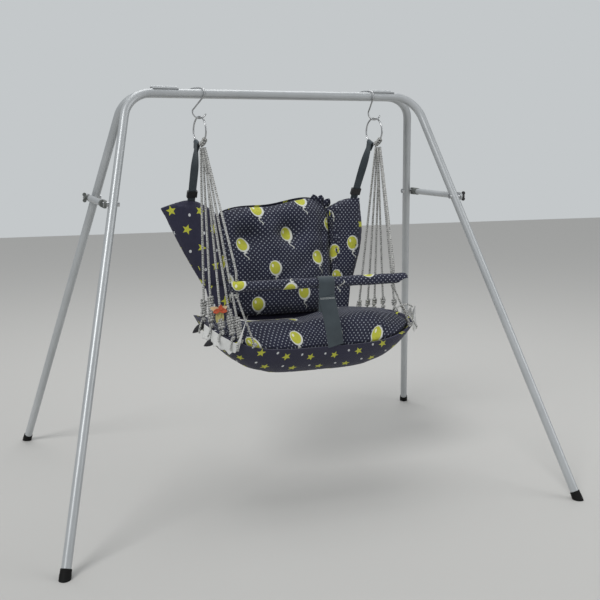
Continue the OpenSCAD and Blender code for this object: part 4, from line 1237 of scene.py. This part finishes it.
# %% Padded sleeve of the front bar
SLEEVE_MID = 0.012
SLEEVE_HALF = 0.282
SLEEVE_END_R = 0.0105
bar_rings = []
bar_flat = []
for i in range(141):
    x = SLEEVE_MID - SLEEVE_HALF + 2 * SLEEVE_HALF * i / 140
    past = SLEEVE_HALF - abs(x - SLEEVE_MID)
    end = min(1.0, past / 0.012)
    waist = 0.0015 * max(0.0, 1 - abs(x - 0.003) / 0.05)
    ring = []
    pairs = []
    for k in range(40):
        a = 2 * math.pi * k / 40
        slack = 0.0011 * noise.noise(Vector((x * 26, math.cos(a) * 1.3, math.sin(a) * 1.3)))
        pucker = 0.0010 * math.sin(11 * a) * max(0.0, 1 - past / 0.03)
        full = PAD_R - 0.0010 - waist + slack - SLEEVE_END_R
        r = SLEEVE_END_R + full * math.sin(math.pi / 2 * end) ** 0.6 + pucker
        under = 1.0
        if x > 0 and math.sin(a) < 0:
            under = min(1.0, past / 0.030) * 1.6 - 0.6
        ring.append(Vector((SWING_X + x, BAR_Y + r * math.cos(a), BAR_Z + under * r * math.sin(a))))
        pairs.append((x, PAD_R * abs((a - math.pi / 2 + math.pi) % (2 * math.pi) - math.pi)))
    bar_rings.append(ring)
    bar_flat.append(pairs)
bar_sleeve = ring_skin("bar_sleeve", bar_rings, bar_flat)
dress(bar_sleeve, dotted, "front_bar", "dot_fabric", "front_bar_pad", "front_bar_rod", fill=0.7)

# %% [markdown]
# ## Webbing
# Straps are flat woven bands with fine ribs across them and a firmer edge. Each is a band of rectangles
# swept along its route, with a map in metres along and across for the ribs. The stitching is thread of
# its own.

# %% Webbing finish
webbing = Finish("slate_webbing", colour(66, 77, 82), 0.8, Sheen_Weight=0.2)
run_along, run_across = webbing.print_map()
ribs = (run_along * 3400.0).sin() * 0.5 + 0.5
twill = ((run_along + run_across) * 2600.0).sin() * 0.5 + 0.5
tone = webbing.mix(webbing.noise(26.0, 3.0), colour(50, 60, 67), colour(74, 85, 91))
webbing.tint(ribs * 0.35, tone, colour(46, 54, 58))
webbing.bump(ribs * 0.6 + twill * 0.4, 0.5, 0.0006)


# %% A flat band along a route
def ribbon(name, route, across, width):
    """A band whose width direction is given at each point of its route."""
    profile = [(-0.5, -0.28), (-0.47, -0.5), (0.47, -0.5), (0.5, -0.28)]
    profile += [(-s, -t) for s, t in profile]
    points = []
    for p, way, side in zip(route, headings(route), across):
        a = (side - side.dot(way) * way).normalized()
        b = way.cross(a)
        points += [p + a * (s * width) + b * (t * STRAP_T) for s, t in profile]
    run = distances(route)
    edges = [(one[0] * width, two[0] * width) for one, two in zip(profile, profile[1:] + profile[:1])]
    end_faces, end_maps = caps(run, edges)
    faces = band(len(route), len(profile)) + end_faces
    return new_piece(name, points, faces, band_map(run, edges) + end_maps, smooth=False)


# %% Back straps from the rings to the wings
STRAP_T = 0.0025
STRAP_W = 0.025
STRAP_LOOP = 0.022
STRAP_SWING = math.radians(26)
RING_WIRE_R = 0.0025
half_t = STRAP_T / 2
for hand, side, share, play in ((-1, "left", 0.5, 0.0028), (1, "right", 0.82, 0.0026)):
    wing = WINGS[hand]
    seam, tip = wing_tip(hand)
    bulge = math.sin(math.pi * share)
    foot = seam.lerp(tip, share) + Vector((0, -wing["fold"] * bulge, wing["lift"] * bulge + play))
    lean = spun(0, math.sin(STRAP_SWING), -math.cos(STRAP_SWING))
    forth = spun(0, math.cos(STRAP_SWING), math.sin(STRAP_SWING))
    sideways = spun(hand, 0, 0)
    on_ring = under_hook(hand, RING_Z) + RING_MID * lean
    loop_r = RING_WIRE_R + 0.0024 + half_t
    straight = on_ring + STRAP_LOOP * lean
    route = [straight + (half_t + 0.0003) * sideways]
    turns = [math.radians(48 + 12 * i) for i in range(12)]
    route += [on_ring + loop_r * (math.cos(g) * lean + math.sin(g) * sideways) for g in turns]
    turns = turns[-2::-1]
    route += [on_ring + loop_r * (math.cos(g) * lean - math.sin(g) * sideways) for g in turns]
    route.append(straight - (half_t + 0.0003) * sideways)
    widths = [forth] * len(route)
    start = route[-1]
    knee = straight.lerp(foot, 0.42)
    knee.x = straight.lerp(foot, 0.6).x
    for i in range(1, 31):
        t = i / 30
        route.append(curve(start, knee, foot, t))
        widths.append(forth.lerp(Vector((-1, 0, 0)), math.sin(math.pi / 2 * t)))
    route.append(foot + 0.016 * (foot - knee).normalized())
    widths.append(widths[-1])
    strap = ribbon("back_webbing_" + side, route, widths, STRAP_W)
    dress(strap, webbing, "swing_seat", "webbing", "back_strap_" + side)

# %% Strap between the legs: a loop on the bar and a tail on the seat
CROTCH_W = 0.050
CROTCH_IN = PAD_R - 0.0015 + 0.0004
CROTCH_Y = SEAT_Y - SEAT_HALF_D - 0.0004
strap_x = SWING_X + 0.024
lap = STRAP_T + 0.0003
sideways = Vector((1, 0, 0))


def crotch_line(z):
    t = (BAR_Z - z) / (BAR_Z - SEAT_TOP)
    return (BAR_Y - CROTCH_IN) * (1 - t) + (CROTCH_Y - 0.006) * t


def on_tail(y, z):
    """The tail hangs a little askew, to the right lower down."""
    return Vector((strap_x + 0.034 * (0.606 - z) / 0.150, y, z))


rises = (0.560, 0.575, 0.590, 0.605, 0.620, 0.634)
route = [Vector((strap_x, crotch_line(z) - half_t, z)) for z in rises]
loop_r = CROTCH_IN + half_t
route += [Vector((strap_x, BAR_Y - loop_r * math.cos(g), BAR_Z + loop_r * math.sin(g)))
          for g in [math.radians(10 * i) for i in range(0, 35)]]
loop = ribbon("strap_loop", route, [sideways] * len(route), CROTCH_W)
dress(loop, webbing, "front_bar", "webbing", "crotch_loop")
route = [on_tail(crotch_line(z) - lap - half_t, z) for z in (0.606, 0.590, 0.570, 0.550, 0.530, 0.512)]
for t in (0.85, 0.7, 0.55, 0.4, 0.25, 0.1):
    off = 0.0055 * math.sin(math.pi / 2 * t) ** 1.5 + lap * t
    route.append(on_tail(CROTCH_Y - half_t - off, 0.458 + 0.050 * t))
route += [on_tail(CROTCH_Y - half_t, z) for z in (0.4560, 0.4525)]
tail = ribbon("strap_tail", route, [sideways] * len(route), CROTCH_W)
dress(tail, webbing, "swing_seat", "webbing", "crotch_tail")

# %% Stitching across the strap, with painted shade in the grooves of the thread's twist
thread = Finish("pale_thread", colour(196, 200, 200), 0.6)
run_along, run_round = thread.print_map()
twist_height_and_shade = ((run_along * 900.0 + run_round) * TURN).sin() * 0.5 + 0.5
# Painted shade: the thread is darker in the grooves of its twist, from the same wave that makes the bump.
thread.tint(twist_height_and_shade, colour(150, 156, 158), colour(214, 217, 216))
thread.bump(twist_height_and_shade, 0.5, 0.0003)
seams = []
for k, z in enumerate((0.6025, 0.5995)):
    middle = on_tail(crotch_line(z) - lap - STRAP_T, z)
    line = between(middle - 0.023 * sideways, middle + 0.023 * sideways, 40)
    seams.append(tube("seam_%d" % k, line, 0.0006, 6))
dress(join("strap_stitching", seams), thread, "swing_seat", "webbing")

# %% [markdown]
# ## White cloth at the seat ends
# A strip of thin white cloth hangs in folds at each end of the seat, under the knots. It is one sheet
# whose folds open towards the lower edge, with a little thickness. On the left a flap stands up at its
# front end, and on the right two small points do.

# %% White cloth
white = Finish("white_cloth", colour(222, 222, 219), 0.9, Sheen_Weight=0.2)
u, v = white.print_map()
white.tint(white.noise(30.0, 4.0), colour(196, 197, 196), colour(234, 234, 231))
white.bump(weave(u, v, 4200.0) * 0.4 + white.noise(90.0, 3.0), 0.3, 0.0010)


def cloth_sheets(hand, first, last, above, high):
    """Outside and inside of a strip between two angles of the rim, which it starts above."""

    def pair(a, drop):
        i = 64 * a
        flap = 0.098 * max(0.0, (i - 53) / 11) ** 1.3
        lean = 0.13 * max(0.0, (i - 40) / 24) ** 2
        rising = 1 - 0.6 * max(0.0, (i - 46) / 18)
        if hand > 0:
            flap = 0.030 * max(0.0, 1 - abs(i - 24) / 10) + 0.018 * max(0.0, 1 - abs(i - 7) / 7)
            lean = 0.0
            rising = 1.0
        turn = math.radians(-(first + (last - first) * (a - lean * drop)))
        x, y, rim = outline(turn if hand > 0 else math.pi - turn, 0.0)
        out = Vector(((x / SEAT_HALF_W) ** 3 / SEAT_HALF_W, (y / SEAT_HALF_D) ** 3 / SEAT_HALF_D, 0))
        out.normalize()
        wave = 0.004 * (1 + math.sin(2 * math.pi * 3 * a)) * drop
        wave += 0.0015 * (1 + math.sin(2 * math.pi * 8.5 * a)) * drop * drop
        wave += 0.24 * flap * (1 - drop)
        hang = (high + 0.003 * math.sin(0.6 * i)) * drop * rising
        p = Vector((SEAT_X + x, SEAT_Y + y, rim + above + flap * (1 - drop) - hang))
        return p + out * (0.0022 + wave), p + out * (0.0008 + wave)

    return sheets(65, 13, pair)


for hand, side, first, last, above, high in ((-1, "left", 9, 61, -0.001, 0.038),
                                             (1, "right", 2, 33, 0.015, 0.033)):
    outer, inner = cloth_sheets(hand, first, last, above, high)
    sheet = pad_skin("end_cloth_" + side, outer, inner, mirrored=hand < 0)
    map_by_place(sheet, lambda p: (p.x + p.y, p.z))
    dress(sheet, white, "swing_seat", "white_cloth", "corner_cloth_" + side)
    rows = [distances(line)[-1] for line in zip(*outer)]
    drops = [distances(line)[-1] for line in outer]
    cut = (max(drops), sum(rows) / len(rows))
    share = sum(drops) / len(drops) / max(drops)
    share * cut[0] * cut[1]
    print("cut %.0f by %.0f mm" % (1000 * cut[0], 1000 * cut[1]))

# %% [markdown]
# ## A ribbon and the edge tabs
# A small ribbon flower is tied to the front strand on the left: cream and orange petals over two strips
# of pale gold. Two dark tabs of the seat's edging stick out at the same end. All of them are tongues of
# cloth.


# %% Ribbon flower
def plain_cloth(name, dark, pale):
    cloth = Finish(name, pale, 0.7, Sheen_Weight=0.3)
    cloth.tint(cloth.noise(120.0, 3.0), dark, pale)
    cloth.bump(cloth.noise(700.0, 2.0), 0.3, 0.0004)
    return cloth


flower_foot = knot_place(-1, STRAND_FEET[-1][0])
flower = flower_foot.lerp(strand_top(-1, 0), 0.118) - 0.019 * looking
to_right = Vector((math.cos(camera_yaw), -math.sin(camera_yaw), 0))
to_top = Vector((0, 0, 1))
petals = {"gold": ((-0.22, -1.0, 0.040, 0.016), (0.22, -1.0, 0.036, 0.016)),
          "cream": ((-1.0, 0.22, 0.028, 0.015), (1.0, 0.5, 0.024, 0.014)),
          "orange": ((-0.8, -0.35, 0.020, 0.014), (0.9, -0.15, 0.022, 0.015), (0.1, 0.6, 0.016, 0.012))}
tones = {"gold": (colour(150, 142, 82), colour(192, 184, 120)),
         "cream": (colour(206, 170, 120), colour(232, 208, 168)),
         "orange": (colour(168, 58, 28), colour(206, 92, 46))}
for depth, tint in enumerate(petals):
    pieces = []
    for k, (right, up, length, width) in enumerate(petals[tint]):
        way = right * to_right + up * to_top
        across = up * to_right - right * to_top
        root = flower + 0.0011 * k * to_right - 0.0025 * depth * looking
        pieces.append(tongue("%s_%d" % (tint, k), root, way, across, length, width, 0.003))
    petal_cloth = plain_cloth("ribbon_" + tint, *tones[tint])
    dress(join("ribbon_" + tint, pieces), petal_cloth, "swing_seat", "white_cloth")

# %% Dark tabs at the left end
tabs = []
for k, (share, left, down, length) in enumerate(((-0.30, 0.8, 0.6, 0.042), (-0.62, 0.9, 0.45, 0.040))):
    root = rim_at(-1, share) + Vector((0.003 + 0.008 * k, -0.004 * k, -0.006 - 0.026 * k))
    way = -left * to_right - down * to_top
    across = down * to_right - left * to_top
    tabs.append(tongue("tab_%d" % k, root, way, across, length, 0.019, 0.006, 0.0026))
binding_cloth = plain_cloth("edge_binding", colour(16, 16, 20), colour(34, 34, 40))
dress(join("edge_tabs", tabs), binding_cloth, "swing_seat", "star_fabric", fill=0.1)

# %% [markdown]
# ## Floor and light
# A plain pale floor, an even sky, a soft key light that reaches the whole floor alike, and two large
# soft lamps.

# %% Floor
bpy.ops.object.select_all(action="DESELECT")
bpy.ops.mesh.primitive_plane_add(size=16.0, location=(0, 0, -0.0005))
floor = bpy.context.object
floor.name = "studio_floor"
Finish("pale_floor", colour(196, 195, 192), 0.7).wear(floor)

# %% Sky and lamps
world = bpy.data.worlds.new("studio")
scene.world = world
world.use_nodes = True
sky = world.node_tree.nodes["Background"]
sky.inputs["Color"].default_value = colour(206, 210, 213) + (1.0,)
sky.inputs["Strength"].default_value = 0.5
wall = world.node_tree.nodes.new("ShaderNodeBackground")
wall.inputs["Color"].default_value = colour(196, 200, 202) + (1.0,)
seen = world.node_tree.nodes.new("ShaderNodeLightPath")
choice = world.node_tree.nodes.new("ShaderNodeMixShader")
sources = (seen.outputs["Is Camera Ray"], sky.outputs[0], wall.outputs[0])
for socket, source in zip(choice.inputs, sources):
    world.node_tree.links.new(source, socket)
world.node_tree.links.new(choice.outputs[0], world.node_tree.nodes["World Output"].inputs[0])


def lamp(name, place, aim, size, power):
    bpy.ops.object.light_add(type="AREA", location=place, rotation=facing(Vector(aim) - Vector(place)))
    light = bpy.context.object
    light.name = name
    light.data.shape = "SQUARE"
    light.data.size = size
    light.data.energy = power


bpy.ops.object.light_add(type="SUN", rotation=facing((0.62, 0.52, -0.78)))
key = bpy.context.object
key.name = "key"
key.data.energy = 1.4
key.data.angle = math.radians(24)
lamp("fill", (3.2, -2.4, 2.2), (0, 0, 0.7), 2.6, 34)
lamp("over", (0.2, 1.2, 3.8), (0, 0, 0.8), 3.0, 60)
